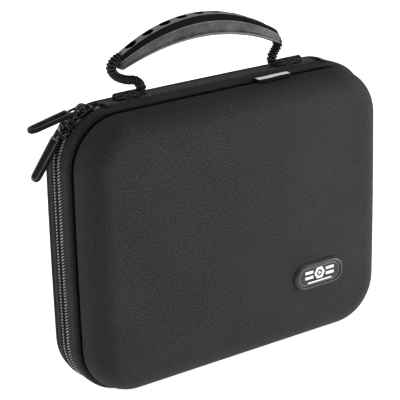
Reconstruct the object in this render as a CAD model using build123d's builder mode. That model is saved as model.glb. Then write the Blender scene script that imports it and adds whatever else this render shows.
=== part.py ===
"""Hard-shell carry case for miniatures, standing on its long edge.

Frame: X runs along the width, Z is up, and -Y faces the front, where the badge is. The pieces are
drawn about the middle plane of the zip, and written out with the origin on the ground, under the
middle of the front rim band that the case stands on. The deep front shell holds the foam tray, and
the shallow back shell is the lid: it swings back about the fold at the rear edge of the spine.
"""

import os
from math import cos, radians, sin

from build123d import *

# Outline of the case, in the plane of the zip
WIDTH = 270.0
HEIGHT = 213.0
CORNER_R = 41.0
SIDE_BULGE = 1.2
TOP_BULGE = 0.8

# Zip: a coil and a tape on each side of the middle plane
ZIP_HALF = 5.5
COIL_HALF = 3.4
COIL_TOP = 0.3
TAPE_TOP = 2.3
TAPE_BOTTOM = 3.2
ZIP_GAP = 0.15
ZIP_END_ANGLE = 82.0
SPINE_START_ANGLE = 88.0
SPINE_THICKNESS = 2.0
TAB_THICKNESS = 0.8

# Rim bands and the skirts of the shells that they are sewn to
SKIRT_INSET = 4.0
CAVITY_INSET = 7.5
GLUE_GAP = 0.12
FRONT_BAND_DEPTH = 15.0
BACK_BAND_DEPTH = 11.5
BAND_EDGE_R = 1.5
STAND_Y = -9.5

# Deep front shell
DOME_INSET = 2.8
DOME_START = 16.0
FRONT_DEPTH = 40.0
FRONT_WALL = 3.8
DOME_DRAFT = 7.0
FRONT_BLEND_R = 17.0
FOOT_R = 0.8
BACK_FOOT_R = 0.5

# Shallow back shell
BACK_DOME_START = 12.4
BACK_DEPTH = 18.0
BACK_BLEND_R = 4.6
BACK_CAVITY_R = 2.0

# Linings and the bindings round the mouths
LINING = 1.2
BINDING_INSET = 4.3
BINDING_THICKNESS = 1.9
BINDING_REACH = 1.6

# Foam
PAD_GAP = 0.3
FLOOR_PAD = 5.0
TRAY_TOP = 6.8
TRAY_WALL = 8.0
STRIP = 5.0
TRAY_COLUMNS = 4
TRAY_ROWS = 3
TRAY_CORNER_R = 30.0
LID_PAD_FRONT = -2.5
LID_PAD_MARGIN = 14.0
LID_PAD_R = 24.0

# Badge on the front face
BADGE_X = 66.5
BADGE_Z = 57.0
BADGE_LENGTH = 47.0
BADGE_HEIGHT = 21.6
BADGE_THICKNESS = 3.2
BADGE_RIM = 2.6
BADGE_RECESS = 1.2
BADGE_CHAMFER = 1.2
EMBLEM_R = 5.0
EMBLEM_THICKNESS = 0.5
EMBLEM_LIFT = 1.2
EMBLEM_BAR = 2.1
EMBLEM_BAR_LENGTH = 7.6
EMBLEM_BAR_SPREAD = 20.0
EMBLEM_BAR_PITCH = 4.2
EMBLEM_CORE_R = 1.6
EMBLEM_LINE_DROP = 5.1
EMBLEM_LINE_LENGTH = 23.0
EMBLEM_LINE = 0.9

# Blank side label, folded over and sewn into the top seam
LABEL_X = 41.0
LABEL_LENGTH = 29.0
LABEL_DEPTH = 7.6
LABEL_THICKNESS = 1.3

# Sliders: angles are measured at the corner of the outline, up from the side
LOWER_ANGLE = 43.0
UPPER_ANGLE = 66.0
SLIDER_LENGTH = 15.0
SLIDER_WIDTH = 11.6
SLIDER_TAIL_WIDTH = 8.4
SLIDER_NOSE_WIDTH = 8.7
SLIDER_SHOULDER = 3.75
SLIDER_CORNER_R = 1.4
SLIDER_EDGE_R = 0.7
SLIDER_LIFT = 0.1
SLIDER_PLATE = 1.8
FLANGE = 1.1
FLANGE_DROP = 1.9
FLANGE_LENGTH = 10.5
FLANGE_SHIFT = 0.75
BRIDGE_WIDTH = 3.4
BRIDGE_THICKNESS = 1.3
BRIDGE_LENGTH = 10.5
BRIDGE_RISE = 5.0
PIVOT_RISE = 4.2
LINK_WIDTH = 7.6
LINK_THICKNESS = 1.3
LINK_LENGTH = 14.0
LINK_WINDOW_WIDTH = 4.6
LINK_WINDOW_START = 0.65
LINK_WINDOW_END = 8.6
TAB_START = 9.6
TAB_RECESS = 0.5
TAB_RIM = 1.3
PULL_LENGTH = 33.5
PULL_WIDTH = 10.8
PULL_TIP_WIDTH = 9.6
PULL_DEPTH = 3.2
PULL_EDGE_R = 0.6
LOWER_PULL_HEADING = 233.4
UPPER_PULL_HEADING = 192.0

# Handle: the grip sits off centre because its straps lean to the left
GRIP_X = -10.5
GRIP_HALF = 70.5
GRIP_TILT = 1.8
GRIP_END_LOW = 232.5
GRIP_END_HIGH = 242.5
GRIP_MID_LOW = 248.5
GRIP_MID_HIGH = 264.5
GRIP_END_HALF_WIDTH = 6.6
GRIP_MID_HALF_WIDTH = 10.0
GRIP_STATIONS = 9
GRIP_LIP = 1.1
GRIP_LIP_HEIGHT = 2.6
GRIP_SHOULDER = 0.27
GRIP_CREST = 0.3
GRIP_DIMPLES = 9
DIMPLE_PITCH = 14.6
DIMPLE_LENGTH = 7.6
DIMPLE_WIDTH = 4.6
DIMPLE_DEPTH = 1.4
STRAP_WIDTH = 9.0
STRAP_THICKNESS = 4.4
STRAP_PIVOT_Z = 221.0
LEFT_STRAP_ROUTE = [(-82.9, 240.4), (-86.6, 236.6), (-82.2, 228.4), (-64.6, 223.6), (-62.0, 214.0)]
RIGHT_STRAP_ROUTE = [(61.4, 230.0), (60.6, 226.6), (56.6, 220.8), (60.6, 214.0)]
STRAP_BENDS = [3.4, 4.2, 3.8]
PATCH_THICKNESS = 3.0
PATCH_WIDTH = 8.8
PATCH_INNER = 60.0
PATCH_OUTER = 83.0
PATCH_CORNER_R = 2.0
PATCH_EDGE_R = 1.0


def write(piece, name):
    """Move a finished piece to the frame's origin, label it and write its STEP file."""
    placed = piece.part.moved(Location((0, -STAND_Y, 0)))
    placed.label = name
    export_step(placed, f"parts/{name}.step")


def outline(inset):
    """The case outline as a flat face, drawn in from the rim by the inset."""
    half = WIDTH / 2 - SIDE_BULGE - inset
    low = inset
    high = HEIGHT - TOP_BULGE - inset
    middle = (low + high) / 2
    with BuildSketch() as face:
        with BuildLine():
            Line((-half, low), (half, low))
            ThreePointArc((half, low), (half + SIDE_BULGE, middle), (half, high))
            ThreePointArc((half, high), (0, high + TOP_BULGE), (-half, high))
            ThreePointArc((-half, high), (-half - SIDE_BULGE, middle), (-half, low))
        make_face()
        fillet(face.vertices(), radius=CORNER_R - inset)
    return face.sketch


def ring(outer_inset, inner_inset, y_start, y_end):
    """A band that follows the outline, between two insets and two depths."""
    outer = outline(outer_inset)
    inner = outline(inner_inset)
    with BuildPart() as band:
        with BuildSketch(Plane.XZ.offset(-y_end)):
            add(outer)
            add(inner, mode=Mode.SUBTRACT)
        extrude(amount=y_end - y_start)
    return band.part


def front_block(inset, depth, blend):
    """The tapered block of the front shell, from the zip forward to the given depth."""
    face = outline(inset)
    with BuildPart() as block:
        with BuildSketch(Plane.XZ.offset(ZIP_HALF)):
            add(face)
        extrude(amount=DOME_START - ZIP_HALF)
        with BuildSketch(Plane.XZ.offset(DOME_START)):
            add(face)
        extrude(amount=depth - DOME_START, taper=DOME_DRAFT)
        fillet(block.faces().sort_by(Axis.Y)[0].edges(), radius=blend)
    return block.part


def back_block(inset, depth, blend):
    """The block of the back shell, from the zip back to the given depth."""
    face = outline(inset)
    with BuildPart() as block:
        with BuildSketch(Plane.XZ.offset(-ZIP_HALF)):
            add(face)
        extrude(amount=-(depth - ZIP_HALF))
        fillet(block.faces().sort_by(Axis.Y)[-1].edges(), radius=blend)
    return block.part


def corner_centre():
    """Centre of the top left corner arc of the outline, as (x, z)."""
    arcs = outline(0).edges().filter_by(GeomType.CIRCLE)
    centres = [arc.arc_center for arc in arcs if arc.radius < HEIGHT]
    top_left = min(centres, key=lambda centre: centre.X - centre.Y)
    return top_left.X, top_left.Y


CORNER_X, CORNER_Z = corner_centre()


def zip_end_x(angle):
    """Distance from the middle of the case to the point at an angle on the top corner arcs."""
    return -(CORNER_X - CORNER_R * cos(radians(angle)))


def zip_ring(outer_inset, inner_inset, y_start, y_end):
    """A ring without the stretch along the top, where the spine takes the place of the zip."""
    whole = ring(outer_inset, inner_inset, y_start, y_end)
    reach = zip_end_x(ZIP_END_ANGLE)
    with BuildPart() as band:
        add(whole)
        with Locations((0, 0, HEIGHT)):
            Box(2 * reach, 4 * ZIP_HALF, CORNER_R, mode=Mode.SUBTRACT)
    return band.part


def top_strip(outer_inset, inner_inset, y_start, y_end, start_angle, end_angle):
    """The stretches of a ring along the top between two corner angles, on both sides."""
    whole = ring(outer_inset, inner_inset, y_start, y_end)
    reach = zip_end_x(start_angle)
    with BuildPart() as strip:
        add(whole)
        with Locations((0, 0, HEIGHT)):
            Box(2 * reach, 4 * ZIP_HALF, CORNER_R, mode=Mode.INTERSECT)
        if end_angle is not None:
            with Locations((0, 0, HEIGHT)):
                Box(2 * zip_end_x(end_angle), 4 * ZIP_HALF, CORNER_R, mode=Mode.SUBTRACT)
    return strip.part


os.makedirs("parts", exist_ok=True)

# ------------------------------------------------------------------ shells

front_outer = front_block(DOME_INSET, FRONT_DEPTH, FRONT_BLEND_R)
front_hollow = front_block(CAVITY_INSET, FRONT_DEPTH - FRONT_WALL, FRONT_BLEND_R - FRONT_WALL)
front_seam = ring(-1, SKIRT_INSET, -DOME_START, -ZIP_HALF)

with BuildPart() as front_shell:
    add(front_outer)
    add(front_seam, mode=Mode.SUBTRACT)
    foot = front_shell.faces().filter_by(Axis.Y).sort_by(Axis.Y)[1]
    fillet(foot.outer_wire().edges(), radius=FOOT_R)
    add(front_hollow, mode=Mode.SUBTRACT)
write(front_shell, "front_shell")

back_outer = back_block(DOME_INSET, BACK_DEPTH, BACK_BLEND_R)
back_hollow = back_block(CAVITY_INSET, BACK_DEPTH - FRONT_WALL, BACK_CAVITY_R)
back_seam = ring(-1, SKIRT_INSET, ZIP_HALF, BACK_DOME_START)

with BuildPart() as back_shell:
    add(back_outer)
    add(back_seam, mode=Mode.SUBTRACT)
    foot = back_shell.faces().filter_by(Axis.Y).sort_by(Axis.Y)[-2]
    fillet(foot.outer_wire().edges(), radius=BACK_FOOT_R)
    add(back_hollow, mode=Mode.SUBTRACT)
write(back_shell, "back_shell")

# --------------------------------------------------------------- rim bands

BAND_INNER = SKIRT_INSET - GLUE_GAP
front_band = ring(0, BAND_INNER, -FRONT_BAND_DEPTH, -ZIP_HALF)
back_band = ring(0, BAND_INNER, ZIP_HALF, BACK_BAND_DEPTH)

with BuildPart() as front_rim_band:
    add(front_band)
    front_face = front_rim_band.faces().sort_by(Axis.Y)[0]
    fillet(front_face.outer_wire().edges(), radius=BAND_EDGE_R)
write(front_rim_band, "front_rim_band")

with BuildPart() as back_rim_band:
    add(back_band)
    back_face = back_rim_band.faces().sort_by(Axis.Y)[-1]
    fillet(back_face.outer_wire().edges(), radius=BAND_EDGE_R)
write(back_rim_band, "back_rim_band")

# --------------------------------------------------------------------- zip

front_tape = zip_ring(TAPE_TOP, TAPE_BOTTOM, -ZIP_HALF, -ZIP_GAP)
back_tape = zip_ring(TAPE_TOP, TAPE_BOTTOM, ZIP_GAP, ZIP_HALF)
front_coil = zip_ring(COIL_TOP, TAPE_TOP, -COIL_HALF, -ZIP_GAP)
back_coil = zip_ring(COIL_TOP, TAPE_TOP, ZIP_GAP, COIL_HALF)
zip_tabs = top_strip(-TAB_THICKNESS, 0, -ZIP_HALF, 0, ZIP_END_ANGLE, SPINE_START_ANGLE)
spine_piece = top_strip(0, SPINE_THICKNESS, -ZIP_HALF, ZIP_HALF, SPINE_START_ANGLE, None)

with BuildPart() as front_zip_tape:
    add(front_tape)
write(front_zip_tape, "front_zip_tape")

with BuildPart() as back_zip_tape:
    add(back_tape)
write(back_zip_tape, "back_zip_tape")

with BuildPart() as front_zip_coil:
    add(front_coil)
write(front_zip_coil, "front_zip_coil")

with BuildPart() as back_zip_coil:
    add(back_coil)
write(back_zip_coil, "back_zip_coil")

with BuildPart() as zip_end_tabs:
    add(zip_tabs)
write(zip_end_tabs, "zip_end_tabs")

with BuildPart() as spine_strip:
    add(spine_piece)
write(spine_strip, "spine_strip")

# --------------------------------------------------- linings and bindings

LINING_DEPTH = FRONT_DEPTH - FRONT_WALL - GLUE_GAP
LINING_R = FRONT_BLEND_R - FRONT_WALL - GLUE_GAP
lining_outer = front_block(CAVITY_INSET + GLUE_GAP, LINING_DEPTH, LINING_R)
lining_inner = front_block(CAVITY_INSET + LINING, LINING_DEPTH - LINING, LINING_R - LINING)

with BuildPart() as base_lining:
    add(lining_outer)
    add(lining_inner, mode=Mode.SUBTRACT)
write(base_lining, "base_lining")

LID_LINING_DEPTH = BACK_DEPTH - FRONT_WALL - GLUE_GAP
lid_lining_outer = back_block(CAVITY_INSET + GLUE_GAP, LID_LINING_DEPTH, BACK_CAVITY_R)
lid_lining_inner = back_block(CAVITY_INSET + LINING, LID_LINING_DEPTH - LINING, BACK_CAVITY_R)

with BuildPart() as lid_lining:
    add(lid_lining_outer)
    add(lid_lining_inner, mode=Mode.SUBTRACT)
write(lid_lining, "lid_lining")

binding_bottom = BINDING_INSET + BINDING_THICKNESS
base_welt = ring(BINDING_INSET, binding_bottom, -ZIP_HALF, -BINDING_REACH)
lid_welt = ring(BINDING_INSET, binding_bottom, BINDING_REACH, ZIP_HALF)

with BuildPart() as base_binding:
    add(base_welt)
write(base_binding, "base_binding")

with BuildPart() as lid_binding:
    add(lid_welt)
write(lid_binding, "lid_binding")

# -------------------------------------------------------------------- foam

INNER_INSET = CAVITY_INSET + LINING + PAD_GAP
FLOOR_DEPTH = LINING_DEPTH - LINING - PAD_GAP
floor_block = front_block(INNER_INSET, FLOOR_DEPTH, LINING_R - LINING)
FLOOR_TOP = FLOOR_DEPTH - FLOOR_PAD

with BuildPart() as floor_pad:
    add(floor_block)
    split(bisect_by=Plane.XZ.offset(FLOOR_TOP), keep=Keep.TOP)
write(floor_pad, "floor_pad")

TRAY_BOTTOM = FLOOR_TOP - PAD_GAP
TRAY_DEPTH = TRAY_BOTTOM - TRAY_TOP
WINDOW_WIDTH = WIDTH - 2 * (INNER_INSET + SIDE_BULGE + TRAY_WALL)
WINDOW_HEIGHT = HEIGHT - TOP_BULGE - 2 * (INNER_INSET + TRAY_WALL)
WINDOW_Z = (HEIGHT - TOP_BULGE) / 2
COLUMN_PITCH = (WINDOW_WIDTH + STRIP) / TRAY_COLUMNS
ROW_PITCH = (WINDOW_HEIGHT + STRIP) / TRAY_ROWS
tray_plane = Plane.XZ.offset(TRAY_TOP)

with BuildPart() as foam_tray_frame:
    add(floor_block)
    split(bisect_by=Plane.XZ.offset(TRAY_TOP), keep=Keep.TOP)
    split(bisect_by=Plane.XZ.offset(TRAY_BOTTOM), keep=Keep.BOTTOM)
    with BuildSketch(tray_plane):
        with Locations((0, WINDOW_Z)):
            RectangleRounded(WINDOW_WIDTH, WINDOW_HEIGHT, TRAY_CORNER_R)
    extrude(amount=TRAY_DEPTH, mode=Mode.SUBTRACT)
write(foam_tray_frame, "foam_tray_frame")

for row in range(1, TRAY_ROWS):
    strip_z = WINDOW_Z - (WINDOW_HEIGHT + STRIP) / 2 + row * ROW_PITCH
    with BuildPart() as long_strip:
        with BuildSketch(tray_plane):
            with Locations((0, strip_z)):
                Rectangle(WINDOW_WIDTH - 2 * GLUE_GAP, STRIP)
        extrude(amount=TRAY_DEPTH)
    write(long_strip, f"foam_long_strip_{row}")

with BuildPart() as foam_cross_strips:
    with BuildSketch(tray_plane):
        with Locations((0, WINDOW_Z)):
            with GridLocations(COLUMN_PITCH, ROW_PITCH, TRAY_COLUMNS - 1, TRAY_ROWS):
                Rectangle(STRIP, ROW_PITCH - STRIP - 2 * GLUE_GAP)
    extrude(amount=TRAY_DEPTH)
write(foam_cross_strips, "foam_cross_strips")

LID_FLOOR = LID_LINING_DEPTH - LINING - PAD_GAP

with BuildPart() as lid_foam_pad:
    with BuildSketch(Plane.XZ.offset(-LID_FLOOR)):
        with Locations((0, WINDOW_Z)):
            pad_width = WIDTH - 2 * LID_PAD_MARGIN
            pad_height = HEIGHT - 2 * LID_PAD_MARGIN
            RectangleRounded(pad_width, pad_height, LID_PAD_R)
    extrude(amount=LID_FLOOR - LID_PAD_FRONT)
write(lid_foam_pad, "lid_foam_pad")

# ------------------------------------------------------- badge and label

badge_plane = Plane.XZ.offset(FRONT_DEPTH)
badge_centre = (BADGE_X, BADGE_Z)
plate_top = BADGE_THICKNESS - BADGE_RECESS

with BuildPart() as badge_surround:
    with BuildSketch(badge_plane):
        with Locations(badge_centre):
            SlotOverall(BADGE_LENGTH, BADGE_HEIGHT)
    extrude(amount=BADGE_THICKNESS)
    outer_face = badge_surround.faces().sort_by(Axis.Y)[0]
    chamfer(outer_face.edges(), length=BADGE_CHAMFER)
    with BuildSketch(badge_plane):
        with Locations(badge_centre):
            SlotOverall(BADGE_LENGTH - 2 * BADGE_RIM, BADGE_HEIGHT - 2 * BADGE_RIM)
    extrude(amount=BADGE_THICKNESS, mode=Mode.SUBTRACT)
write(badge_surround, "badge_surround")

with BuildPart() as badge_plate:
    with BuildSketch(badge_plane):
        with Locations(badge_centre):
            plate_margin = 2 * (BADGE_RIM + GLUE_GAP)
            SlotOverall(BADGE_LENGTH - plate_margin, BADGE_HEIGHT - plate_margin)
    extrude(amount=plate_top)
write(badge_plate, "badge_plate")

with BuildPart() as badge_emblem:
    with BuildSketch(badge_plane.offset(plate_top)):
        with Locations((BADGE_X, BADGE_Z - EMBLEM_LINE_DROP)):
            Rectangle(EMBLEM_LINE_LENGTH, EMBLEM_LINE)
        with Locations((BADGE_X, BADGE_Z + EMBLEM_LIFT)):
            RegularPolygon(EMBLEM_R, 6)
            RegularPolygon(EMBLEM_R - EMBLEM_BAR, 6, mode=Mode.SUBTRACT)
            RegularPolygon(EMBLEM_CORE_R, 3)
            with GridLocations(EMBLEM_BAR_SPREAD, EMBLEM_BAR_PITCH, 2, 2):
                Rectangle(EMBLEM_BAR_LENGTH, EMBLEM_BAR)
    extrude(amount=EMBLEM_THICKNESS)
write(badge_emblem, "badge_emblem")

label_z = HEIGHT - DOME_INSET + GLUE_GAP

with BuildPart() as side_label:
    with BuildSketch(Plane.YZ.offset(LABEL_X - LABEL_LENGTH / 2)):
        with BuildLine():
            label_back = -FRONT_BAND_DEPTH - GLUE_GAP
            label_front = label_back - LABEL_DEPTH
            Polyline(
                (label_back, label_z),
                (label_front, label_z - LABEL_THICKNESS / 4),
                (label_front, label_z + LABEL_THICKNESS),
                (label_back, label_z + LABEL_THICKNESS),
                close=True,
            )
        make_face()
    extrude(amount=LABEL_LENGTH)
write(side_label, "side_label")

# ----------------------------------------------------------------- sliders


def surface_point(angle):
    """The point of the zip's corner arc at an angle, with its outward and downward directions."""
    turn = radians(angle)
    outward = Vector(-cos(turn), 0, sin(turn))
    downward = Vector(-sin(turn), 0, -cos(turn))
    return Vector(CORNER_X, 0, CORNER_Z) + outward * CORNER_R, outward, downward


def slider_body(angle, tail):
    """Slider plate with its flange: tail is +1 if the narrow end points down the zip."""
    point, outward, downward = surface_point(angle)
    flat = Plane(origin=point, x_dir=downward * tail, z_dir=outward)
    half = SLIDER_LENGTH / 2
    wide = SLIDER_WIDTH / 2
    nose = SLIDER_NOSE_WIDTH / 2
    narrow = SLIDER_TAIL_WIDTH / 2
    with BuildPart() as body:
        with BuildSketch(flat.offset(SLIDER_LIFT)):
            with BuildLine():
                Polyline(
                    (-half, -nose),
                    (-SLIDER_SHOULDER, -wide),
                    (half, -narrow),
                    (half, narrow),
                    (-SLIDER_SHOULDER, wide),
                    (-half, nose),
                    close=True,
                )
            corners = make_face().vertices()
            fillet(corners, radius=SLIDER_CORNER_R)
        extrude(amount=SLIDER_PLATE)
        top = body.faces().filter_by(lambda face: face.normal_at().dot(outward) > 0.9)
        fillet(top.edges(), radius=SLIDER_EDGE_R)
        with BuildSketch(flat.offset(SLIDER_LIFT - FLANGE_DROP)):
            with Locations((FLANGE_SHIFT, tail * (COIL_HALF + FLANGE))):
                Rectangle(FLANGE_LENGTH, FLANGE)
        extrude(amount=FLANGE_DROP)
    return body.part


def slider_bridge(angle):
    """The arched crown over the slider, which the pull's link passes under."""
    point, outward, downward = surface_point(angle)
    side = Plane(origin=point, x_dir=downward, z_dir=(0, 1, 0))
    foot_height = SLIDER_LIFT + SLIDER_PLATE
    outer = BRIDGE_LENGTH / 2
    inner = outer - BRIDGE_THICKNESS
    crown = foot_height + BRIDGE_RISE
    with BuildPart() as bridge:
        with BuildSketch(side):
            with BuildLine():
                ThreePointArc((-outer, foot_height), (0, crown), (outer, foot_height))
                Line((outer, foot_height), (inner, foot_height))
                ThreePointArc(
                    (inner, foot_height), (0, crown - BRIDGE_THICKNESS), (-inner, foot_height)
                )
                Line((-inner, foot_height), (-outer, foot_height))
            make_face()
        extrude(amount=BRIDGE_WIDTH / 2, both=True)
    return bridge.part


def pull_plane(angle, heading):
    """Plane of a pull: origin on its pivot, x along the pull, z away from the case."""
    point, outward, _ = surface_point(angle)
    turn = radians(heading)
    along = Vector(cos(turn), 0, sin(turn))
    away = Vector(sin(turn), 0, -cos(turn))
    return Plane(origin=point + outward * PIVOT_RISE, x_dir=along, z_dir=away)


def pull_link(plane):
    """The flat metal link: a window for the bridge, and a tongue inside the rubber tab."""
    bar = LINK_WINDOW_START
    with BuildPart() as link:
        with BuildSketch(plane.offset(-LINK_THICKNESS / 2)):
            with Locations(((LINK_LENGTH - bar) / 2, 0)):
                RectangleRounded(LINK_LENGTH + bar, LINK_WIDTH, bar)
            with Locations(((bar + LINK_WINDOW_END) / 2, 0)):
                window_length = LINK_WINDOW_END - bar
                Rectangle(window_length, LINK_WINDOW_WIDTH, mode=Mode.SUBTRACT)
        extrude(amount=LINK_THICKNESS)
    return link.part


def tab_outline(margin):
    """Outline of the rubber tab, which narrows a little to its round tip."""
    wide = PULL_WIDTH / 2 - margin
    tip = PULL_TIP_WIDTH / 2 - margin
    start = TAB_START + margin
    straight_end = TAB_START + PULL_LENGTH - PULL_TIP_WIDTH / 2
    with BuildSketch() as face:
        with BuildLine():
            Line((start, -wide), (straight_end, -tip))
            ThreePointArc((straight_end, -tip), (straight_end + tip, 0), (straight_end, tip))
            Line((straight_end, tip), (start, wide))
            Line((start, wide), (start, -wide))
        make_face()
    return face.sketch


def pull_tab(plane, link):
    """The moulded rubber tab, with a sunk panel on both faces, moulded over the link."""
    whole = tab_outline(0)
    panel = tab_outline(TAB_RIM)
    with BuildPart() as tab:
        with BuildSketch(plane):
            add(whole)
        extrude(amount=PULL_DEPTH / 2, both=True)
        flats = tab.faces().filter_by(lambda face: abs(face.normal_at().dot(plane.z_dir)) > 0.9)
        fillet(flats.edges(), radius=PULL_EDGE_R)
        for side in (-1, 1):
            with BuildSketch(plane.offset(side * PULL_DEPTH / 2)):
                add(panel)
            extrude(amount=-side * TAB_RECESS, mode=Mode.SUBTRACT)
        add(link, mode=Mode.SUBTRACT)
    return tab.part


for name, angle, tail, heading in (
    ("lower", LOWER_ANGLE, 1, LOWER_PULL_HEADING),
    ("upper", UPPER_ANGLE, -1, UPPER_PULL_HEADING),
):
    body_piece = slider_body(angle, tail)
    bridge_piece = slider_bridge(angle)
    link_piece = pull_link(pull_plane(angle, heading))
    tab_piece = pull_tab(pull_plane(angle, heading), link_piece)
    pieces = {"body": body_piece, "bridge": bridge_piece, "link": link_piece, "pull": tab_piece}
    for kind, piece in pieces.items():
        with BuildPart() as slider_piece:
            add(piece)
        write(slider_piece, f"{name}_slider_{kind}")

# ------------------------------------------------------------------ handle


def grip_section(position):
    """Height of the underside and of the crest, and half the width, at -1 to 1 along the grip."""
    crown = 1 - position**2
    tilt = -GRIP_TILT * position
    low = GRIP_END_LOW + (GRIP_MID_LOW - GRIP_END_LOW) * crown + tilt
    high = GRIP_END_HIGH + (GRIP_MID_HIGH - GRIP_END_HIGH) * crown + tilt
    half = GRIP_END_HALF_WIDTH + (GRIP_MID_HALF_WIDTH - GRIP_END_HALF_WIDTH) * crown
    return low, high, half


with BuildPart() as grip:
    for station in range(GRIP_STATIONS):
        position = 2 * station / (GRIP_STATIONS - 1) - 1
        low, high, half = grip_section(position)
        shoulder = high - (high - low) * GRIP_SHOULDER
        inner = half - GRIP_LIP
        with BuildSketch(Plane.YZ.offset(GRIP_X + GRIP_HALF * position)):
            with BuildLine():
                Polyline(
                    (-inner, low),
                    (-half, low + GRIP_LIP),
                    (-half, low + GRIP_LIP_HEIGHT),
                    (-inner, low + GRIP_LIP_HEIGHT + GRIP_LIP),
                    (-inner, shoulder),
                    (-half * GRIP_CREST, high),
                    (half * GRIP_CREST, high),
                    (inner, shoulder),
                    (inner, low + GRIP_LIP_HEIGHT + GRIP_LIP),
                    (half, low + GRIP_LIP_HEIGHT),
                    (half, low + GRIP_LIP),
                    (inner, low),
                    close=True,
                )
            make_face()
    loft()
    for dimple in range(GRIP_DIMPLES):
        offset_x = (dimple - (GRIP_DIMPLES - 1) / 2) * DIMPLE_PITCH
        high = grip_section(offset_x / GRIP_HALF)[1]
        with BuildSketch(Plane.XY.offset(high - DIMPLE_DEPTH)):
            with Locations((GRIP_X + offset_x, 0)):
                Ellipse(DIMPLE_LENGTH / 2, DIMPLE_WIDTH / 2)
        extrude(amount=2 * DIMPLE_DEPTH, mode=Mode.SUBTRACT)
write(grip, "grip")

for name, route in (("left", LEFT_STRAP_ROUTE), ("right", RIGHT_STRAP_ROUTE)):
    with BuildPart() as strap:
        with BuildSketch(Plane.XZ):
            with BuildLine():
                FilletPolyline(*route, radius=STRAP_BENDS[: len(route) - 2])
            trace(line_width=STRAP_THICKNESS)
        extrude(amount=STRAP_WIDTH / 2, both=True)
        with BuildSketch(Plane.YZ.offset(-WIDTH / 2)):
            with Locations((0, STRAP_PIVOT_Z)):
                Circle(STRAP_WIDTH / 2)
                Rectangle(STRAP_WIDTH, HEIGHT, align=(Align.CENTER, Align.MIN))
        extrude(amount=WIDTH, mode=Mode.INTERSECT)
    write(strap, f"strap_{name}")

for name, side in (("left", -1), ("right", 1)):
    with BuildPart() as patch:
        with BuildSketch(Plane.XY.offset(HEIGHT)):
            with Locations((side * (PATCH_INNER + PATCH_OUTER) / 2, 0)):
                RectangleRounded(PATCH_OUTER - PATCH_INNER, PATCH_WIDTH, PATCH_CORNER_R)
        extrude(amount=PATCH_THICKNESS)
        fillet(patch.faces().sort_by(Axis.Z)[-1].edges(), radius=PATCH_EDGE_R)
    write(patch, f"strap_patch_{name}")
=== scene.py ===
"""Looks of the carry case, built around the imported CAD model.

Shapes are worked out in millimetres about the middle plane of the zip, with X along the width, Z up and
-Y towards the front, and placed in the model's frame by place().
"""

import bisect
import math
import random

import bpy
from mathutils import Matrix, Vector, noise


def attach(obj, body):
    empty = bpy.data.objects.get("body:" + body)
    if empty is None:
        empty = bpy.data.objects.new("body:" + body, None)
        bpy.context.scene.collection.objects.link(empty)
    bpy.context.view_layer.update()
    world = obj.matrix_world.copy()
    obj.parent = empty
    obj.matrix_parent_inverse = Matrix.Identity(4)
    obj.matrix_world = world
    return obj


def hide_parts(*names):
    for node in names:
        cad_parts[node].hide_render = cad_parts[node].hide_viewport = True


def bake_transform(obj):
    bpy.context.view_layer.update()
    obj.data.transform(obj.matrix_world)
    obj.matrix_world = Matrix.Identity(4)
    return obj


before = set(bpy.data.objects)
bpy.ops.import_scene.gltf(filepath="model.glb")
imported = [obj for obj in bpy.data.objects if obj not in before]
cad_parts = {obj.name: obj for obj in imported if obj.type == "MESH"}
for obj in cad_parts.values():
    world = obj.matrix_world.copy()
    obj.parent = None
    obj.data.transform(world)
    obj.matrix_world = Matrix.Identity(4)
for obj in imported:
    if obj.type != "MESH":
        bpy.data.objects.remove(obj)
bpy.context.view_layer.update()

MM = 0.001
ZIP_Y = 9.5

# Outline of the case
WIDTH = 270.0
HEIGHT = 213.0
CORNER_R = 41.0
CORNER_X = 93.54
CORNER_TOP_Z = 171.61
SIDE_BULGE_R = 4691.0
SIDE_BULGE_Z = 106.1
TOP_BULGE_R = 11189.9
MIDDLE_Z = 106.0

random.seed(7)


def place(x, y, z):
    """A point in the zip's frame, in millimetres, as a vector in the model's frame."""
    return Vector((x * MM, (y + ZIP_Y) * MM, z * MM))


# ---- the outline


def arc(centre_x, centre_z, radius, start, end, step=0.4):
    """Points of an arc between two angles in degrees, with their outward directions."""
    count = max(2, int(abs(math.radians(end - start)) * radius / step))
    made = []
    for i in range(count):
        turn = math.radians(start + (end - start) * i / count)
        made.append((centre_x + radius * math.cos(turn), centre_z + radius * math.sin(turn), turn))
    return made


def outline_points():
    """The outline as dense points, from the top left corner down, along the bottom and back."""
    side = math.degrees(math.atan2(CORNER_TOP_Z - SIDE_BULGE_Z, SIDE_BULGE_R - CORNER_R))
    top = math.degrees(math.atan2(CORNER_X, TOP_BULGE_R - CORNER_R))
    far = SIDE_BULGE_R - WIDTH / 2
    made = arc(-CORNER_X, CORNER_TOP_Z, CORNER_R, 90 + top, 180 - side)
    made += arc(far, SIDE_BULGE_Z, SIDE_BULGE_R, 180 - side, 180 + side)
    made += arc(-CORNER_X, CORNER_R, CORNER_R, 180 + side, 270)
    steps = 400
    for i in range(steps):
        made.append((-CORNER_X + 2 * CORNER_X * i / steps, 0.0, math.radians(270)))
    made += arc(CORNER_X, CORNER_R, CORNER_R, 270, 360 - side)
    made += arc(-far, SIDE_BULGE_Z, SIDE_BULGE_R, -side, side)
    made += arc(CORNER_X, CORNER_TOP_Z, CORNER_R, side, 90 - top)
    made += arc(0, HEIGHT - TOP_BULGE_R, TOP_BULGE_R, 90 - top, 90 + top)
    return made


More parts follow.
